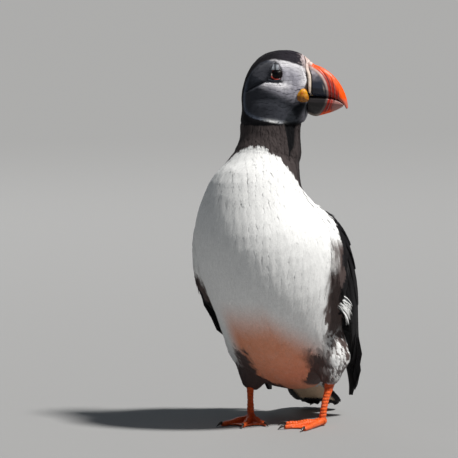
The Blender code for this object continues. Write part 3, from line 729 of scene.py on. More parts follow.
def taper_wing_tips(points, nodes):
    """Narrows the ends of the wings towards their middle lines, and spreads the left one out."""
    for side, (low, high) in WING_TIPS.items():
        here = on(nodes, f"wing_{side}")
        u, v, z = BODY.read(points[here])
        along = (z - TIP_FROM) / (TIP_TO - TIP_FROM)
        middle_u, middle_v = (low[i] + (high[i] - low[i]) * along for i in range(2))
        narrow = 0.65 + 0.35 * ramp(z, 12, 44)
        out = 2.0 * ramp(z, 45, 18) if side == "left" else 0
        u, v = middle_u + (u - middle_u) * narrow, middle_v + (v - middle_v) * narrow
        points[here] = BODY.place(u - 0.4 * out, v + out, z)


def flank_fill(side):
    """A wedge between the breast and the front edge of a wing, where flank feathers lie."""
    trunk = tree_of("trunk")[0]
    rows = []
    for z in np.arange(66.0, 156.0, 4.0):
        front = float(wing_span(side, z)[0])
        angles = np.array([front - 15, front + 1.5, front + 1.5])
        starts, ways = beside(side, angles, np.full(3, z))
        ahead, _, inner = depths(trunk, starts, ways)
        outer = depths(WING_TREES[side], starts, ways)[1]
        inner = outer if inner is None else inner
        between = inner + (outer - inner) * float(ramp(z, 66, 92) * ramp(z, 154, 146))
        sunk = np.array([ahead + 0.6 * MM, between + 0.6 * MM, inner + 14 * MM])
        rows.append(starts + ways * sunk[:, None])
    return lofted(f"flank_{side}", rows)


LIDS_AT = (3.0, 11.7)  # f, h of the middle of the rim round each eye
LID_FROM, LID_TO = 4.6, 8.4  # reach of the lids from there, in millimetres
LID_RIM = 3.6  # how far the solid of the lids stands out past the middle of the eye


def lid_rise(f, h):
    """How far the lids stand out over the plain side of the head, in millimetres."""
    above = h - LIDS_AT[1]
    reach = np.maximum(np.hypot(f - LIDS_AT[0], above), 1)
    return np.maximum(1.3 + 1.2 * above / reach, 0) * ramp(reach, LID_TO, LID_FROM)


def lids(side):
    """A plug round an eye that builds its lids up from the side of the head."""
    middle, outward, _ = eye_frame(side)
    head = tree_of("head")[0]
    ahead = HEAD.way(1.0, 0.0, 0.0)
    ahead = unit(ahead - outward * (ahead @ outward))
    turns = np.linspace(0, math.tau, 40, endpoint=False)[:, None]
    ways = np.cos(turns) * ahead + np.sin(turns) * np.cross(outward, ahead)
    rows = []
    for reach in (0.3, 2.4, 4.4, 5.4, 6.4, 7.4, 8.6):
        starts = middle + ways * max(reach, 5.8) * MM + outward * 30 * MM
        out = 30 - np.array(depths(head, starts, [-outward] * len(starts))) / MM
        height = LID_RIM + (out - LID_RIM) * ramp(reach, LID_FROM, LID_TO) - (reach > LID_TO)
        rows.append(middle + ways * reach * MM + outward * height[:, None] * MM)
    rows.append(middle + ways * 6.2 * MM - outward * 7.0 * MM)
    return lofted(f"lids_{side}", rows)


def make_skin():
    skin = copy_of("skin", *FLESH)
    select_only(skin, *(build(side) for build in (flank_fill, lids) for side in SIDES))
    bpy.ops.object.join()
    refine(skin, SKIN_VOXEL, 5, SKIN_SWELL)
    points = points_of(skin)
    nodes = nodes_at(points)
    sinking = -(COAT_DEPTHS[nodes] + SKIN_SWELL)
    on_head = on(nodes, "head")
    sinking[on_head] += face_folds(points[on_head])
    sinking += nape_fill(points)
    on_body = on(nodes, "trunk", "neck")
    sinking[on_body] += neck_fold(points[on_body])
    relief = LOCK_RELIEF * ramp(points[on_body, 2], 0.19, 0.12)
    sinking[on_body] += relief * lumps(points[on_body], 4.5, 3.4, 11)
    u, v, z, angle = body_places(points)
    sinking -= (2.4 + 3.0 * ramp(angle, 118, 132)) * ramp(z, 148, 160) * on(nodes, *WINGS)
    sinking += 2.0 * spot(u, z, (-30, 47), (9, 10)) * ramp(v, 38, 46) * (z > 30)
    raise_by(skin, sinking)
    moved = points_of(skin)
    draw_down_legs(moved, nodes)
    taper_wing_tips(moved, nodes)
    move_to(skin, moved)
    apply_modifier(skin, "SMOOTH", factor=0.5, iterations=2)
    done(skin, plumage(points, nodes) * UNDER_COAT_LIGHT, DOWN, "white_feather", *FLESH)
    return skin


class Surface:
    """A skin to lay feathers on."""

    def __init__(self, obj):
        self.points, self.point_normals = points_of(obj), normals_of(obj)
        obj.data.calc_loop_triangles()
        corners = np.empty(len(obj.data.loop_triangles) * 3, np.int32)
        obj.data.loop_triangles.foreach_get("vertices", corners)
        self.corners = corners.reshape(-1, 3)
        self.tree = BVHTree.FromPolygons(self.points.tolist(), self.corners.tolist())
        a, b, c = (self.points[self.corners[:, i]] for i in range(3))
        self.areas = np.linalg.norm(np.cross(b - a, c - a), axis=1) / 2
        self.nodes = nodes_at(self.points)[self.corners[:, 0]]

    def normals_at(self, places, faces):
        """Normals blended over each triangle from those of its corners."""
        corners = self.points[self.corners[faces]]
        blended = np.zeros_like(places)
        for i in range(3):
            others = corners[:, (i + 1) % 3] - places, corners[:, (i + 2) % 3] - places
            weight = np.linalg.norm(np.cross(*others), axis=1)
            blended += weight[:, None] * self.point_normals[self.corners[faces, i]]
        return unit(blended)

    def nearest(self, points):
        hits = [self.tree.find_nearest(p) for p in points.tolist()]
        places = np.array([hit[0][:] for hit in hits])
        return places, self.normals_at(places, np.array([hit[2] for hit in hits]))

    def met_by(self, starts, ways):
        """Where lines from the starts meet the skin, its normals there, and which lines do."""
        hits = [self.tree.ray_cast(Vector(s), Vector(w)) for s, w in zip(starts, ways)]
        met = np.array([hit[0] is not None for hit in hits])
        places = np.array([hit[0][:] for hit in hits if hit[0] is not None])
        faces = np.array([hit[2] for hit in hits if hit[0] is not None])
        return places, self.normals_at(places, faces), met

    def scatter(self, names, spacing, seed):
        """Roots over the named parts, one to each cell of a grid, in random order."""
        rng = np.random.default_rng(seed)
        here = np.flatnonzero(on(self.nodes, *names))
        count = int(3 * self.areas[here].sum() / (spacing * MM) ** 2)
        share = self.areas[here] / self.areas[here].sum()
        faces = rng.choice(here, count, p=share)
        first, second = rng.random((2, count))
        over = first + second > 1
        first[over], second[over] = 1 - first[over], 1 - second[over]
        a, b, c = (self.points[self.corners[faces, i]] for i in range(3))
        roots = a + (b - a) * first[:, None] + (c - a) * second[:, None]
        cells = np.floor(roots / (spacing * MM)).astype(int)
        _, kept = np.unique(cells, axis=0, return_index=True)
        faces = faces[kept]
        return roots[kept], self.normals_at(roots[kept], faces), self.nodes[faces]


# ---- The lie of the coat ----

WING_POINT = (-98, 34, -20)  # u, v, z of a place past the wing's tip that its feathers point at


def head_flow(points):
    """Back from the bill, then down over the cheeks and the nape."""
    f, s, h = HEAD.read(points)
    down = 0.15 + 1.2 * ramp(f, -2, -20) + 0.5 * ramp(h, 0, -18)
    return HEAD.way(-1.0, 0.0, -down)


def body_flow(points):
    """Down the breast and the back, and in under the belly towards the tail."""
    u, v, z = BODY.read(points)
    back = 0.12 + 0.75 * ramp(z, 105, 45)
    fan = 0.16 * np.clip(v / 50, -1, 1) * ramp(z, 90, 150)
    return BODY.way(-back, fan, -1.0)


def wing_flow(points):
    """Towards the wing's tip, but down like the flank along its front edge."""
    u, v, z, angle = body_places(points)
    tip_u, tip_v, tip_z = WING_POINT
    back = unit(BODY.way(tip_u - u, np.sign(v) * tip_v - v, tip_z - z))
    ahead = ramp(black_edge(v, z) - angle, -4, 4) * ramp(z, 82, 90)
    return blend(back, unit(body_flow(points)), ahead)


def tail_flow(points):
    return points - BODY.place(*TAIL_FAN_FROM)


FLOWS = {"head": head_flow, "wing_left": wing_flow, "wing_right": wing_flow, "tail": tail_flow}


def flow(points, nodes):
    found = body_flow(points)
    for name, rule in FLOWS.items():
        here = on(nodes, name)
        if here.any():
            found[here] = rule(points[here])
    return unit(found)


def turned(ways, normals, angles):
    """Directions turned about the normals."""
    sideways = np.cross(normals, ways)
    return ways * np.cos(angles)[:, None] + sideways * np.sin(angles)[:, None]


def lay_lines(surface, roots, normals, nodes, lengths, shares, wander):
    """Lines over the skin from the roots along the lie of the coat, with their normals.

    shares tells how far along its length each point of a line lies.
    """
    points, line, rises = roots, [roots], [normals]
    for step in np.diff(shares):
        ways = flow(points, nodes)
        ways = unit(ways - normals * (ways * normals).sum(1, keepdims=True))
        ways = turned(ways, normals, wander)
        points, normals = surface.nearest(points + ways * (lengths * step)[:, None])
        line.append(points)
        rises.append(normals)
    return np.stack(line, 1), np.stack(rises, 1)


# ---- Feathers as meshes ----

PATCH = 0.003  # size of one feather in the OFBake map
VANE_ARCH = 0.16  # height of a vane's middle for each unit of its half width


def unwrapped(roots, axes, lengthwise):
    """Places from 0 to 1 round and along an axis of the part that the roots grow from."""
    spread = np.array(axes.read(roots))
    middle = spread.mean(1)
    x, y = (spread[i] - middle[i] for i in range(3) if i != lengthwise)
    turn = np.arctan2(x, y) / math.tau + 0.5
    along = spread[lengthwise]
    along = (along - along.min()) / max(float(np.ptp(along)), 1.0)
    return np.stack([turn, along], -1) * 0.96 + 0.02


def vane_faces(inner, columns):
    """Triangles of a closed vane: a root, rows of points across it and a tip."""
    faces = []
    for row in range(inner - 1):
        low, high = 1 + row * columns, 1 + (row + 1) * columns
        for c in range(columns - 1):
            faces += [(low + c, low + c + 1, high + c + 1), (low + c, high + c + 1, high + c)]
        faces += [(low, high, high + columns - 1), (low, high + columns - 1, low + columns - 1)]
    last, tip = 1 + (inner - 1) * columns, 1 + inner * columns
    for c in range(columns - 1):
        faces += [(0, 2 + c, 1 + c), (tip, last + c, last + c + 1)]
    return np.array(faces + [(0, 1, columns), (tip, last + columns - 1, last)])


Vanes = namedtuple(
    "Vanes", "line rises shares widths lifts arch colours root_shade roll shades", defaults=(0.0, None)
)
# line, rises   (feathers, rows, 3): places along each feather and the way up from the skin there
# shares        (rows,): how far along the feather each row is
# widths, lifts (feathers, rows): half widths and heights over the skin, in metres
# arch          (feathers,): height of the middle over the edges
# colours       (feathers, 3)
# root_shade    how much darker than the tip the root is
# roll          slope from edge to edge
# shades        (feathers, rows, 3) normals that soften the shading, or None for its own


def lay_feathers(name, vanes, axes, lengthwise, material, slot, columns=3):
    """One piece of many closed thin vanes, mapped round an axis of the part they grow from."""
    patches = unwrapped(vanes.line[:, 0], axes, lengthwise)
    count, rows = vanes.line.shape[:2]
    ahead = np.gradient(vanes.line, axis=1)
    sideways = unit(np.cross(ahead, vanes.rises))
    across = np.linspace(-1, 1, columns)
    inner = rows - 2
    lifted = vanes.line + vanes.rises * vanes.lifts[..., None]
    widths = vanes.widths[:, 1:-1, None]
    rise = vanes.arch[:, None, None] * (1 - across**2) + vanes.roll * widths * across
    body = (
        lifted[:, 1:-1, None]
        + sideways[:, 1:-1, None] * (widths * across)[..., None]
        + vanes.rises[:, 1:-1, None] * rise[..., None]
    ).reshape(count, inner * columns, 3)
    points = np.concatenate([lifted[:, :1], body, lifted[:, -1:]], 1)
    per = points.shape[1]
    triangles = vane_faces(inner, columns)[None] + (np.arange(count) * per)[:, None, None]
    mesh = bpy.data.meshes.new(name)
    mesh.from_pydata(points.reshape(-1, 3), [], triangles.reshape(-1, 3))
    mesh.shade_smooth()

    shares = np.concatenate([[0], np.repeat(vanes.shares[1:-1], columns), [1]])
    aside = np.concatenate([[0], np.tile(across, inner), [0]]) / 2
    vane = np.tile(np.stack([shares, aside + 0.5], -1), (count, 1))
    offsets = np.stack([aside, shares - 0.5], -1) * PATCH
    bake = (patches[:, None] + offsets[None]).reshape(-1, 2)
    for layer, values in (("OFBake", bake), ("vane", vane)):
        mesh.uv_layers.new(name=layer).data.foreach_set("uv", values[triangles.ravel()].ravel())
    tints = vanes.colours[:, None] * (1 - vanes.root_shade * (1 - shares))[None, :, None]
    if vanes.shades is None:
        mesh.set_sharp_from_angle(angle=math.radians(50))
    else:
        slanted = vanes.shades[:, 1:-1, None] + sideways[:, 1:-1, None] * (CURL * across)[:, None]
        slanted = slanted.reshape(count, inner * columns, 3)
        normals = np.concatenate([vanes.shades[:, :1], slanted, vanes.shades[:, -1:]], 1)
        mesh.normals_split_custom_set_from_vertices(unit(normals).reshape(-1, 3))
    done(new_object(name, mesh), tints.reshape(-1, 3), material, slot)


# ---- The soft coat ----

CURL = 0.16  # how round a vane looks from edge to edge
LOCK_RELIEF = 0.10  # height of the soft ripples that run down the body, in millimetres
SOFT_SHARES = np.array([0, 0.3, 0.72, 1])
SOFT_WIDTHS = np.array([0, 0.85, 1, 0])
SOFT_LIFTS = np.array([-0.1, 0.55, 0.92, 0.95])


def gathered(line, roots, normals, size, pull):
    """Draws the vanes together into locks.

    Tells too how far aside each stands in its lock, from -1 to 1, and which lock it is in.
    """
    cells = np.floor(roots / (size * MM)).astype(int)
    _, leaders = np.unique(cells, axis=0, return_index=True)
    tree = KDTree(len(leaders))
    for index, place in enumerate(roots[leaders].tolist()):
        tree.insert(place, index)
    tree.balance()
    locks = np.array([tree.find(place)[1] for place in roots.tolist()])
    sideways = unit(np.cross(line[:, 1] - line[:, 0], normals))
    aside = ((roots - roots[leaders[locks]]) * sideways).sum(1)
    moved = (aside * pull)[:, None, None] * (SOFT_SHARES**1.5)[None, :, None] * sideways[:, None]
    return line - moved, np.clip(aside / (0.6 * size * MM), -1, 1), locks


Coat = namedtuple("Coat", "parts keep spacing length width lift tousle lock roundness shade slot")


def grow_coat(surface, name, coat, seed):
    """Small overlapping vanes over parts of the skin."""
    roots, normals, nodes = surface.scatter(coat.parts, coat.spacing, seed)
    kept = coat.keep(roots) & ~(on(nodes, "trunk") & under_a_wing(roots))
    roots, normals, nodes = roots[kept], normals[kept], nodes[kept]
    rng = np.random.default_rng(seed + 100)
    count = len(roots)
    lengths = coat.length * MM * rng.uniform(0.7, 1.15, count)
    wander = coat.tousle * (lumps(roots, coat.length, 2, seed) + rng.normal(0, 0.4, count))
    line, rises = lay_lines(surface, roots, normals, nodes, lengths, SOFT_SHARES, wander)
    line, aside, locks = gathered(line, roots, normals, coat.lock, 0.4)
    tone = rng.normal(0, 1, locks.max() + 1)[locks]
    widths = coat.width / 2 * MM * rng.uniform(0.75, 1.25, count)
    unevenness = 0.7 * coat.roundness
    top = coat.lift * MM * (rng.uniform(1 - unevenness, 1.03, count) + unevenness * (0.4 * tone - aside**2))
    colours = plumage(line[:, 2], nodes)
    colours = colours * (1 + rng.normal(0, 0.035, count) + coat.shade * tone)[:, None]
    sideways = unit(np.cross(np.gradient(line, axis=1), rises))
    slant = (coat.roundness * aside)[:, None, None] * sideways
    vanes = Vanes(
        line=line,
        rises=rises,
        shares=SOFT_SHARES,
        widths=widths[:, None] * SOFT_WIDTHS,
        lifts=top[:, None] * SOFT_LIFTS,
        arch=widths * VANE_ARCH,
        colours=colours,
        root_shade=0.12,
        shades=unit(rises + slant),
    )
    axes, lengthwise = (HEAD, 0) if coat.parts == ("head",) else (BODY, 2)
    lay_feathers(name, vanes, axes, lengthwise, SOFT_FEATHER, coat.slot)


def beside(side, angle, z):
    """A place outside the body at a height, and the way from it to the spine."""
    turn = np.radians(angle)
    outward = BODY.way(np.cos(turn), SIDES[side] * np.sin(turn), np.zeros_like(turn))
    middle = BODY.place(spine_at(z), SPINE_V, z)
    return middle + outward * OUTSIDE, -outward


def wing_edges(tree, side, z):
    """Angles from the breast at which the wing's solid starts and ends at a height."""
    angles = np.arange(60.0, 178.0, 1.0)
    starts, ways = beside(side, angles, np.full_like(angles, z))
    met = angles[[depth is not None for depth in depths(tree, starts, ways)]]
    return met.min(), met.max()


WING_HEIGHTS = np.arange(20.0, 161.0, 5.0)
WING_TREES = {side: tree_of(f"wing_{side}")[0] for side in SIDES}
WING_EDGES = {s: np.array([wing_edges(WING_TREES[s], s, z) for z in WING_HEIGHTS]).T for s in SIDES}


def wing_span(side, z):
    return [np.interp(z, WING_HEIGHTS, edges) for edges in WING_EDGES[side]]


def under_a_wing(roots):
    u, v, z, angle = body_places(roots)
    found = np.zeros(len(roots), bool)
    for side, sign in SIDES.items():
        front, back = wing_span(side, z)
        found |= (sign * (v - SPINE_V) > 0) & (angle > front + 4) & (angle < back - 4)
    return found & (z > 20) & (z < 152)


def bare_face_parts(roots):
    """True at the eyes, the plates round them, the corners of the mouth and the bill."""
    f, s, h = HEAD.read(roots)
    ahead, above = f - EYE_AT[0], h - EYE_AT[1]
    eye = np.hypot(f - LIDS_AT[0], h - LIDS_AT[1]) < 4.4
    over = (abs(ahead + 1.2) < 3.4 * (1 - ramp(above, 1, 8)) + 0.3) & (above > 0) & (above < 7.2)
    under = (abs(above + 5.9) < 1.1) & (ahead > -5.6) & (ahead < 6.0)
    mouth_corner = np.hypot((f - GAPE_AT[0]) / 4.6, (h - GAPE_AT[1]) / 5.0) < 0.95
    bill = np.where(h > 0, past_cere_seam(f, h) > 0.2, f > 25.6)
    return ((eye | over | under | mouth_corner) & (abs(s) > 6)) | bill


def on_face(roots):
    f, s, h = HEAD.read(roots)
    return (inside_face(f, h) > -1) & ~bare_face_parts(roots)


def off_face(roots):
    f, s, h = HEAD.read(roots)
    return (inside_face(f, h) <= -1) & ~bare_face_parts(roots)


def everywhere(roots):
    return np.ones(len(roots), bool)


def band(low, high, back=False):
    """Keeps the front or the back of the body between two heights."""
    def keep(roots):
        u, v, z, angle = body_places(roots)
        return ((angle >= 100) == back) & (z >= low) & (z < high)
    return keep


def wing_front(roots):
    """Keeps the front edge of a wing, where the flank feathers run on to it."""
    u, v, z, angle = body_places(roots)
    front = np.where(v > 0, wing_span("left", z)[0], wing_span("right", z)[0])
    reach = np.where(z > 126, 180, front + 9)
    return (z > 80) & (angle < np.minimum(reach, black_edge(v, z) + 2))


def wing_shoulder(roots):
    return (roots[:, 2] > 0.126) & ~wing_front(roots)


def tail_coverts(roots):
    return (under_tail(roots) > 0.3) & (along_tail(roots) < 94)


FACE_COAT = Coat(("head",), on_face, 0.53, 2.6, 0.6, 0.45, 0.12, 3.0, 0.04, 0.012, "grey_feather")
NECK_COAT = Coat(("neck",), everywhere, 0.66, 4.2, 0.75, 1.15, 0.22, 2.6, 0.14, 0.05, "black_feather")
FRONT_COAT = Coat(("trunk",), everywhere, 0.86, 12.0, 1.6, 1.3, 0.13, 4.6, 0.035, 0.008, "white_feather")
BACK_COAT = Coat(("trunk",), everywhere, 1.15, 10.0, 2.2, 1.6, 0.10, 7.0, 0.32, 0.10, "black_feather")
THIGH_COAT = Coat(("thigh_left",), everywhere, 0.66, 9.0, 0.8, 1.0, 0.16, 3.0, 0.16, 0.03, "white_feather")
WING_COAT = Coat(("wing_left",), wing_shoulder, 1.0, 6.0, 2.0, 0.7, 0.08, 5.0, 0.3, 0.1, "black_feather")
COATS = {
    "coat_face": FACE_COAT,
    "coat_crown": FACE_COAT._replace(keep=off_face, spacing=0.62, length=3.4, width=0.6, shade=0.06),
    "coat_neck": NECK_COAT,
    "coat_throat": FRONT_COAT._replace(
        keep=band(168, 240), spacing=0.8, length=8.0, width=1.4, lift=1.2, roundness=0.03
    ),
    "coat_breast": FRONT_COAT._replace(keep=band(140, 168)),
    "coat_chest": FRONT_COAT._replace(keep=band(112, 140)),
    "coat_belly": FRONT_COAT._replace(keep=band(84, 112)),
    "coat_low_belly": FRONT_COAT._replace(keep=band(56, 84)),
    "coat_vent": FRONT_COAT._replace(keep=band(0, 56), length=9.0),
    "coat_under_tail": FRONT_COAT._replace(
        parts=("tail",), keep=tail_coverts, length=9.0, width=1.8, lift=1.9
    ),
    "coat_mantle": BACK_COAT._replace(keep=band(140, 260, back=True)),
    "coat_back": BACK_COAT._replace(keep=band(0, 140, back=True)),
    "coat_thigh_left": THIGH_COAT,
    "coat_thigh_right": THIGH_COAT._replace(parts=("thigh_right",)),
    "coat_flank_left": FRONT_COAT._replace(parts=("wing_left",), keep=wing_front, length=9.0),
    "coat_flank_right": FRONT_COAT._replace(parts=("wing_right",), keep=wing_front, length=9.0),
    "coat_shoulder_left": WING_COAT,
    "coat_shoulder_right": WING_COAT._replace(parts=("wing_right",)),
}


# ---- Wings and tail ----

FLIGHT_SHARES = np.array([0, 0.12, 0.3, 0.5, 0.7, 0.86, 0.96, 1])
FLIGHT_WIDTHS = np.array([0, 0.55, 0.85, 0.97, 1, 0.9, 0.55, 0])

Row = namedtuple("Row", "count starts roots tips width lift")
WING_ROWS = [  # heights of the roots and of the tips, each at the front edge and at the back one
    Row(19, 0.06, (116, 106), (10, 60), 9.0, 0.7),
    Row(14, 0.15, (128, 118), (84, 88), 8.5, 1.2),
    Row(12, 0.15, (139, 131), (111, 110), 8.0, 1.5),
    Row(10, 0.15, (148, 142), (127, 124), 7.5, 1.7),
]
ROWS_END = 0.94  # share of the wing's width at which each row ends
WING_FALL = 0.86  # fall in height for each unit of a feather's length
TAIL_FEATHERS = 14
TAIL_UP = (0.54, 0.84)  # u, z of the way out of the top of the tail


def flight_feathers(name, surface, part, starts, ways, lengths, width, lift, roll, rng):
    """Long stiff feathers with rounded tips, each tilted over the next.

    They root where lines from the starts meet the skin. Lengths are in millimetres.
    """
    roots, normals, met = surface.met_by(starts, ways)
    count = len(roots)
    nodes = np.full(count, FLESH.index(part))
    wander = rng.normal(0, 0.012, count)
    line, rises = lay_lines(surface, roots, normals, nodes, (lengths * MM)[met], FLIGHT_SHARES, wander)
    half = width / 2 * MM * rng.uniform(0.94, 1.06, count)
    top = lift * MM * rng.uniform(0.9, 1.1, count)
    colours = np.tile(WING_BLACK, (count, 1)) * rng.uniform(0.75, 1.35, (count, 1))
    vanes = Vanes(
        line=line,
        rises=rises,
        shares=FLIGHT_SHARES,
        widths=half[:, None] * FLIGHT_WIDTHS,
        lifts=top[:, None] * (0.3 + 0.7 * FLIGHT_SHARES),
        arch=half * VANE_ARCH,
        colours=colours,
        root_shade=0.25,
        roll=roll,
    )
    lay_feathers(name, vanes, BODY, 1 if part == "tail" else 2, FLIGHT_FEATHER, "black_feather", 5)


def wing_feathers(surface, side):
    """Rows of flight feathers and coverts down the folded wing, from its edge to its shoulder."""
    rng = np.random.default_rng(31 + SIDES[side])
    for number, row in enumerate(WING_ROWS):
        share = np.linspace(0.03, 0.97, row.count)
        root_z = row.roots[0] + (row.roots[1] - row.roots[0]) * share
        tip_z = row.tips[0] + (row.tips[1] - row.tips[0]) * share**1.3
        front, back = wing_span(side, root_z)
        across = row.starts + (ROWS_END - row.starts) * share
        starts, ways = beside(side, front + (back - front) * across, root_z)
        name, part = f"wing_feathers_{side}_{number + 1}", f"wing_{side}"
        lengths, roll = (root_z - tip_z) / WING_FALL, 0.10 * SIDES[side]
        flight_feathers(name, surface, part, starts, ways, lengths, row.width, row.lift, roll, rng)


def flank_tuft():
    """White flank feathers that curl out over the front edge of the left wing."""
    rng = np.random.default_rng(59)
    count = 42
    fan = np.linspace(0, 1, count)[:, None, None]
    root = np.array([-5.5, 52.5, 95.0]) + rng.normal(0, 0.7, (count, 1, 3)) + fan * (-1.0, 0.4, -8.0)
    tip = np.array([-17.5, 58.9, 86.5]) + fan * (3.0, -2.0, -13.0) + rng.normal(0, 0.9, (count, 1, 3))
    bend = (root + tip) / 2 + (1.5, 3.4, 1.4) + rng.normal(0, 0.9, (count, 1, 3))
    shares = FLIGHT_SHARES[None, :, None]
    line = root * (1 - shares) ** 2 + 2 * bend * shares * (1 - shares) + tip * shares**2
    line = BODY.place(*np.moveaxis(line, -1, 0))
    rises = np.broadcast_to(BODY.way(0.25, 1.0, 0.2), line.shape)
    half = np.full((count, 1), 0.5 * MM)
    vanes = Vanes(
        line=line,
        rises=unit(rises),
        shares=FLIGHT_SHARES,
        widths=half * FLIGHT_WIDTHS * (1 - 0.6 * FLIGHT_SHARES),
        lifts=np.zeros((count, len(FLIGHT_SHARES))),
        arch=np.full(count, 0.12 * MM),
        colours=np.tile(WHITE, (count, 1)) * rng.uniform(0.86, 1.0, (count, 1)),
        root_shade=0.1,
    )
    lay_feathers("flank_tuft", vanes, BODY, 2, SOFT_FEATHER, "white_feather")


def tail_feathers(surface):
    """A short fan of stiff feathers over the tail and another under it."""
    rng = np.random.default_rng(47)
    for name, sign, lift in (("over", 1, 0.9), ("under", -1, 0.6)):
        across = np.linspace(-1, 1, TAIL_FEATHERS)
        v = 2 + 12.5 * across
        u, z = -64 - 6 * (1 - across**2), 31 - 4 * across**2
        out_u, out_z = sign * TAIL_UP[0], sign * TAIL_UP[1]
        starts = BODY.place(u + out_u * 30, v, z + out_z * 30)
        ways = BODY.way(np.full_like(v, -out_u), 0.0, -out_z)
        name, lengths = f"tail_feathers_{name}", 38.5 - 4 * across**2
        flight_feathers(name, surface, "tail", starts, ways, lengths, 7.5, lift, 0.06, rng)


# ---- Bill, cere and corners of the mouth ----

SLATE = (0.030, 0.035, 0.052)
SLATE_PALER = (0.40, 0.36, 0.39)
SLATE_BELOW = (0.024, 0.021, 0.022)
CREAM = (0.66, 0.55, 0.46)
CHEVRON_PINK = (0.62, 0.43, 0.38)
CERE_PINK = (0.68, 0.53, 0.48)
CERE_SPECKLES = (0.34, 0.22, 0.19)
ORANGE = (0.88, 0.088, 0.002)
RED = (0.36, 0.017, 0.007)
GROOVE_RED = (0.11, 0.008, 0.006)
PALE_LINE = (0.50, 0.24, 0.22)
BILL_PINK = (0.36, 0.17, 0.15)
GAPE_YELLOW = (0.66, 0.28, 0.003)
GAPE_BROWN = (0.30, 0.105, 0.002)
GAPE_RED = (0.40, 0.035, 0.003)

BILL_FROM = (20.0, 0.0)  # f, h of the middle of the arcs that the bill is marked with
CHEVRON = 19.5  # radius of the pale arc between the slate and the red
GROOVES = {"upper": (21.9, 24.3, 27.0), "lower": (21.7, 24.4)}
RIDGE_FROM, RIDGE_RADIUS = (22.0, -9.6), 31.6
KEEL = [(27.0, -13.4), (32.4, -14.3), (39.0, -11.7), (45.4, -8.2), (50.6, -4.2)]  # f, h, underneath
MOUTH = [(24.8, -1.3), (33.0, 0.1), (40.6, 0.9), (46.7, 0.0), (51.4, -2.3), (53.9, -5.4)]


def behind_cere_front(f, h):
    """Millimetres behind the front edge of the cere."""
    return 26.9 - 0.173 * h - f


def drawn_back(h):
    """How far the seam between the cere and the bill is behind its straight line."""
    return 1.7 * ramp(h, 13.5, 19) * ramp(h, 23.5, 21) - 0.8 * bump(h, 9, 8)


def draw_back(obj, reach):
    """Pulls the seam between the cere and the bill back, as far as the reach."""
    f, s, h = HEAD.read(points_of(obj))
    near = ramp(abs(behind_cere_front(f, h)), reach, 0.4)
    move_to(obj, HEAD.place(f - near * drawn_back(h), s, h))


def bill_piece(jaw):
    bill = refine(copy_of(f"horn_{jaw}", f"bill_{jaw}"), 0.26, 7, 0.2)
    if jaw == "upper":
        draw_back(bill, 8)
    points = points_of(bill)
    f, s, h = HEAD.read(points)
    reach = np.hypot(f - BILL_FROM[0], h - BILL_FROM[1])
    ridge = RIDGE_RADIUS - np.hypot(f - RIDGE_FROM[0], h - RIDGE_FROM[1])
    over_keel = h - np.interp(f, *zip(*KEEL))
    side = ramp(abs(s), 0.5, 1.6)
    rise = 0.20 * bump(reach, CHEVRON, 0.8)
    side = side * ramp(ridge, 0.6, 3.2)
    hollow = sum(bump(reach, groove, 0.36) for groove in GROOVES[jaw]) * side
    saddle = ramp(f, 25.8, 22.8) * ramp(ridge, 3.5, 0.5) if jaw == "upper" else 0
    at_mouth = bump(off_line(f, h, MOUTH), 0, 0.8) if jaw == "lower" else 0
    raise_by(bill, rise - 0.40 * hollow + 1.3 * saddle + 0.35 * at_mouth)

    rim = ramp(ridge, 3.9, 1.3) if jaw == "upper" else ramp(over_keel, 3.0, 0.6)
    off_rim = 1 - 0.8 * rim
    pale = sum(bump(reach, groove + 0.55, 0.28) for groove in GROOVES[jaw]) * side
    tip = ramp(f, 42, 46) if jaw == "lower" else 0.6 * ramp(h, 3, -1) * ramp(f, 44, 48)
    far = layered(
        RED,
        (ORANGE, rim),
        (GROOVE_RED, 0.75 * hollow * off_rim),
        (PALE_LINE, 0.6 * pale * off_rim),
        (BILL_PINK, tip),
    )
    near = blend(SLATE_BELOW, CREAM, 0.32 * ramp(over_keel, 2.2, 0.5))
    if jaw == "upper":
        # paler in blotches towards the top of the slate
        toned = ramp(h - 0.5 * (f - 24), 6, 15) * (0.7 + 0.4 * lumps(points, 1.6, 2))
        glint = 0.5 * bump(reach, CHEVRON - 2.0, 0.35) * bump(h, 6.5, 2.4)
        near = layered(SLATE, (SLATE_PALER, toned), (CREAM, glint))
    colour = layered(
        near,
        (far, ramp(reach, CHEVRON + 0.6, CHEVRON + 1.0)),
        (CHEVRON_PINK, (0.2 + 0.75 * ramp(h, -2, 13)) * bump(reach, CHEVRON, 0.75)),
        (CERE_PINK, ramp(f, 24.8, 24.0) * ramp(h, 19.8, 21)),
        # painted shade along the mouth line where the jaws meet
        (BLACK, 0.6 * bump(off_line(f, h, MOUTH), 0, 0.35)),
    )
    done(bill, colour, BILL_HORN, "bill_horn", f"bill_{jaw}")


def cere():
    """A cream ridge in front of a dark seam, spreading into bare speckled skin at the top."""
    made = refine(copy_of("cere_skin", "cere"), 0.2, 5)
    draw_back(made, 3.2)
    points = points_of(made)
    f, s, h = HEAD.read(points)
    behind = behind_cere_front(f, h) - drawn_back(h)
    top = ramp(h, 14, 20)
    ridge = bump(behind, 0.8, 1.1)
    lowered = 0.4 * (1 - ridge) * (1 - top) + 0.5 * ramp(h, 20, 24)
    raise_by(made, 0.4 * ridge - lowered + 0.05 * lumps(points, 1.2))
    colour = layered(
        CREAM,
        (CERE_PINK, top),
        (CERE_SPECKLES, 0.5 * ramp(lumps(points, 1.1, seed=3), 0.2, 0.8) * top),
        (CERE_SEAM, 0.95 * ramp(behind, 1.5, 2.0) * (1 - 0.7 * top) * ramp(h, 25, 22)),
        (FACE, ramp(past_cere_seam(f, h), 0.1, -0.4) * ramp(h, 4, 6) * (1 - top)),
    )
    done(made, colour, CERE_SKIN, "cere", "cere")


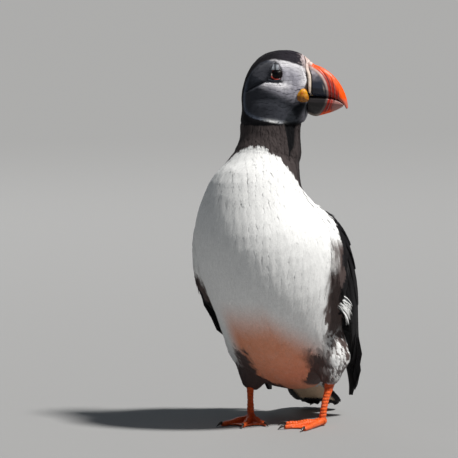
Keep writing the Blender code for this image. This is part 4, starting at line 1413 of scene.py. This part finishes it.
def gape(side):
    """The soft folded corner of the mouth: a rounded triangle with its point up."""
    name = f"gape_{side}"
    made = refine(copy_of(f"mouth_corner_{side}", name), 0.2, 8)
    f, s, h = HEAD.read(points_of(made))
    f, h = f - GAPE_AT[0], h - GAPE_AT[1]
    wide = 1.12 - 0.075 * h
    move_to(made, HEAD.place(22.1 + f * wide, s, h * np.where(h < 0, 0.94, 1.10) + GAPE_AT[1]))
    points = points_of(made)
    turn, reach = np.arctan2(h, f), np.hypot(f, h)
    folds = np.sin(4 * turn + 0.9 * reach + 1.4 * lumps(points, 2.5)) * ramp(reach, 0.8, 3)
    raise_by(made, 0.16 * folds + 0.1)
    colour = layered(
        GAPE_BROWN,
        (GAPE_YELLOW, ramp(h + 0.7 * folds, -1.5, 3.0)),
        (GAPE_RED, 0.8 * spot(f, h, (0.4, 1.8), (0.9, 0.9))),
        # painted shade: black at the front end, where the corner runs in under the bill
        (BLACK, ramp(f, 4.7, 5.1)),
    )
    done(made, colour, GAPE_SKIN, "gape_skin", name)


# ---- Eyes ----

IRIS = (0.006, 0.004, 0.004)
PUPIL = (0.002, 0.002, 0.003)
LID_RED = (0.50, 0.035, 0.014)
LID_DARK = (0.020, 0.008, 0.010)
LID_PALE = (0.55, 0.42, 0.36)
PLATE_PALE = (0.26, 0.28, 0.31)
PLATE_DARK = (0.012, 0.015, 0.024)
CORNEA = 0.35  # how far the middle of the eye stands out, in millimetres
EYE_OPENING = 3.8  # radius of the part of the eye that shows
LID_THICKNESS = 0.36  # radius of the roll of skin round the opening


def eye_frame(side):
    """The middle, outward direction and radius of an eye, from its solid."""
    low, high = (np.array(corner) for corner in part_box(f"eye_{side}"))
    middle = (low + high) / 2
    outward = unit(HEAD.way(0.06, SIDES[side], 0.14))
    return middle, outward, 1.03 * float((high - low).max() / 2)


def toward(outward):
    """A turn that takes +Z to the outward direction."""
    return Vector((0, 0, 1)).rotation_difference(Vector(outward)).to_matrix().to_4x4()


def eye(side):
    middle, outward, radius = eye_frame(side)
    sphere = bpy.ops.mesh.primitive_uv_sphere_add
    made = primitive(f"eyeball_{side}", sphere, segments=64, ring_count=40, radius=radius)
    points = points_of(made)
    off_axis = np.hypot(points[:, 0], points[:, 1])
    points[:, 2] += CORNEA * MM * bump(off_axis, 0, 0.45 * radius) * (points[:, 2] > 0)
    move_to(made, points)
    aside = np.degrees(np.arctan2(off_axis, points[:, 2]))
    made.data.transform(Matrix.Translation(Vector(middle)) @ toward(outward))
    made.data.shade_smooth()
    colour = blend(PUPIL, IRIS, ramp(aside, 15, 18) * ramp(aside, 44, 36))
    done(made, colour, EYE_GLOSS, "eye", f"eye_{side}")


def eye_ring(side):
    """The fleshy rim round the eye: red below and behind, pale at the back corner, dark above."""
    middle, outward, radius = eye_frame(side)
    opening = EYE_OPENING * MM
    torus = bpy.ops.mesh.primitive_torus_add
    sizes = {"major_radius": opening, "minor_radius": LID_THICKNESS * MM}
    made = primitive(f"eye_ring_{side}", torus, major_segments=84, minor_segments=14, **sizes)
    seat = middle + outward * (math.sqrt(radius**2 - opening**2) + 0.3 * MM)
    made.data.transform(Matrix.Translation(Vector(seat)) @ toward(outward))
    f, s, h = HEAD.read(points_of(made))
    middle_f, _, middle_h = HEAD.read(middle[None])
    turn = np.degrees(np.arctan2(h - middle_h, f - middle_f)) % 360
    away = 1 + 0.14 * (bump(turn, 214, 16) + bump(turn, 318, 14) + 1.5 * bump(turn, 112, 13))
    move_to(made, HEAD.place(middle_f + (f - middle_f) * away, s, middle_h + (h - middle_h) * away))
    below = bump(turn, 262, 62)
    raise_by(made, 0.34 * below - 0.1 * (1 - below) + 0.05 * lumps(points_of(made), 0.8))
    made.data.shade_smooth()
    red = ramp(below, 0.25, 0.6) + bump(turn, 122, 22)
    colour = layered(LID_DARK, (LID_RED, red), (LID_PALE, 0.9 * bump(turn, 186, 13)))
    done(made, colour, LID_SKIN, "gape_skin")


def eye_plate(level, side):
    """A small horny plate: a pale triangle over the eye, or a dark bar under it."""
    name = f"eye_plate_{level}_{side}"
    made = refine(copy_of(f"horn_plate_{level}_{side}", name), 0.2, 6, 0.15)
    raise_by(made, 0.06 * lumps(points_of(made), 0.8) + 0.1)
    f, s, h = HEAD.read(points_of(made))
    if level == "upper":
        out, raised = 0.45 * lid_rise(f, h) - 0.6, 0
        ridge = f - 1.2 + 0.35 * (h - 15)
        dark = np.maximum.reduce([bump(ridge, 0, 0.9), ramp(ridge, 2.2, 2.8), ramp(h, 17.6, 18.4)])
        colour = blend(PLATE_PALE, CREASE, dark)
    else:
        out, raised = -1.2, 0.25 * np.maximum(f - 0.5, 0)
        colour = blend(PLATE_DARK, CREASE, ramp(abs(h - 6.4), 0.3, 1.2))
    move_to(made, HEAD.place(f, s + SIDES[side] * out, h + raised))
    done(made, colour, PLATE_HORN, "eye_plate", name)


# ---- Legs ----

LEG_ORANGE = (0.90, 0.120, 0.005)
LEG_DEEP = (0.50, 0.045, 0.006)
WEB_ORANGE = (0.74, 0.095, 0.010)
CLAW_DARK = (0.02, 0.017, 0.015)
CLAW_BROWN = (0.06, 0.045, 0.035)


def tarsus(side):
    name = f"tarsus_{side}"
    made = refine(copy_of(f"shank_{side}", name), 0.28, 8)
    points = points_of(made)
    u, v, z = BODY.read(points)
    front = ramp(u, -23, -19)
    rings = np.sin(z * math.tau / 2.3)  # broad scutes down the front
    raise_by(made, 0.14 * rings * front + 0.1 * lumps(points, 1.6) + 0.05)
    # darker in the grooves between the scutes, which is painted shade, and in a band round the shank
    toned = 0.45 * ramp(rings, -0.5, -1.0) * front + 0.5 * ramp(abs(z - 27), 3, 0)
    done(made, blend(LEG_ORANGE, LEG_DEEP, toned), LEG_SKIN, "leg_skin", name)


def foot(side):
    name = f"foot_{side}"
    made = refine(copy_of(f"webbed_foot_{side}", name), 0.33, 4)
    points = points_of(made)
    u, v, z = BODY.read(points)
    on_top = ramp(normals_of(made) @ [0, 0, 1], 0.1, 0.6)
    web = ramp(z, 2.4, 1.6)
    away = np.hypot(u + 17, v - LEGS_MIDDLE - SIDES[side] * 27.2)
    rings = np.sin(away * math.tau / 2.0)
    creases = lumps(points, 2.2, 3, 5)
    raise_by(made, on_top * (0.13 * rings * (1 - web) + 0.16 * creases * web))
    colour = layered(
        LEG_ORANGE,
        # painted shade in the grooves between the rings on top of the toes
        (LEG_DEEP, 0.4 * ramp(rings, -0.5, -1.0) * on_top * (1 - web)),
        (WEB_ORANGE, web * (0.7 + 0.3 * np.clip(creases, -1, 1))),
    )
    done(made, colour, LEG_SKIN, "leg_skin", name)


def claw(side, toe):
    name = f"claw_{side}_{toe}"
    made = refine(copy_of(f"nail_{side}_{toe}", name), 0.16, 5)
    points = points_of(made)
    raise_by(made, 0.03 * lumps(points, 0.9))
    colour = blend(CLAW_DARK, CLAW_BROWN, ramp(lumps(points, 1.5), 0.1, 0.7))
    done(made, colour, CLAW_HORN, "claw", name)


# ---- Studio ----


def studio_floor():
    floor = primitive("floor", bpy.ops.mesh.primitive_plane_add, size=24)
    plain = bpy.data.materials.new("floor")
    plain.use_nodes = True
    surface = plain.node_tree.nodes["Principled BSDF"]
    surface.inputs["Base Color"].default_value = (0.29, 0.29, 0.29, 1)
    surface.inputs["Roughness"].default_value = 0.95
    surface.inputs["Specular IOR Level"].default_value = 0.2
    floor.data.materials.append(plain)


def aim_at(obj, place, aim):
    obj.location = place
    obj.rotation_euler = (aim - place).to_track_quat("-Z", "Y").to_euler()


def studio_light(name, kind, place, aim, power, colour, **settings):
    lamp = bpy.data.lights.new(name, kind)
    lamp.energy, lamp.color = power, colour
    for setting, value in settings.items():
        setattr(lamp, setting, value)
    aim_at(new_object(name, lamp), Vector(place), Vector(aim))


def studio():
    studio_floor()
    aim = (0, 0, 0.16)
    studio_light("key", "SUN", (1.0, -0.48, 1.95), aim, 5.1, (1.0, 0.98, 0.95), angle=math.radians(8))
    studio_light("rim", "AREA", (-0.4, 1.6, 1.1), aim, 4, (1.0, 1.0, 1.0), size=0.9)
    world = bpy.data.worlds.new("studio")
    bpy.context.scene.world = world
    world.use_nodes = True
    world.node_tree.nodes["Background"].inputs["Color"].default_value = (0.66, 0.83, 1.0, 1)
    world.node_tree.nodes["Background"].inputs["Strength"].default_value = 0.10
    bpy.context.scene.view_settings.view_transform = "Standard"


CAMERA_AIM = (-0.0337, 0.0, 0.139)
CAMERA_AWAY, CAMERA_HEIGHT, CAMERA_LENS = 4.0, 6.0, 440.0  # metres, degrees, millimetres


def camera():
    lens = bpy.data.cameras.new("camera")
    lens.lens = CAMERA_LENS
    lens.clip_end = 60
    rise = math.radians(CAMERA_HEIGHT)
    aim = Vector(CAMERA_AIM)
    bpy.context.scene.camera = new_object("camera", lens)
    place = aim + CAMERA_AWAY * Vector((0, -math.cos(rise), math.sin(rise)))
    aim_at(bpy.context.scene.camera, place, aim)


# ---- The whole bird ----

skin_surface = Surface(make_skin())
for coat_seed, (coat_name, coat_plan) in enumerate(COATS.items()):
    grow_coat(skin_surface, coat_name, coat_plan, coat_seed)
for bird_side in SIDES:
    wing_feathers(skin_surface, bird_side)
tail_feathers(skin_surface)
flank_tuft()
bill_piece("upper")
bill_piece("lower")
cere()
for bird_side in SIDES:
    gape(bird_side)
    eye(bird_side)
    eye_ring(bird_side)
    eye_plate("upper", bird_side)
    eye_plate("lower", bird_side)
    tarsus(bird_side)
    foot(bird_side)
    for toe_name in ("inner", "middle", "outer"):
        claw(bird_side, toe_name)
studio()
camera()
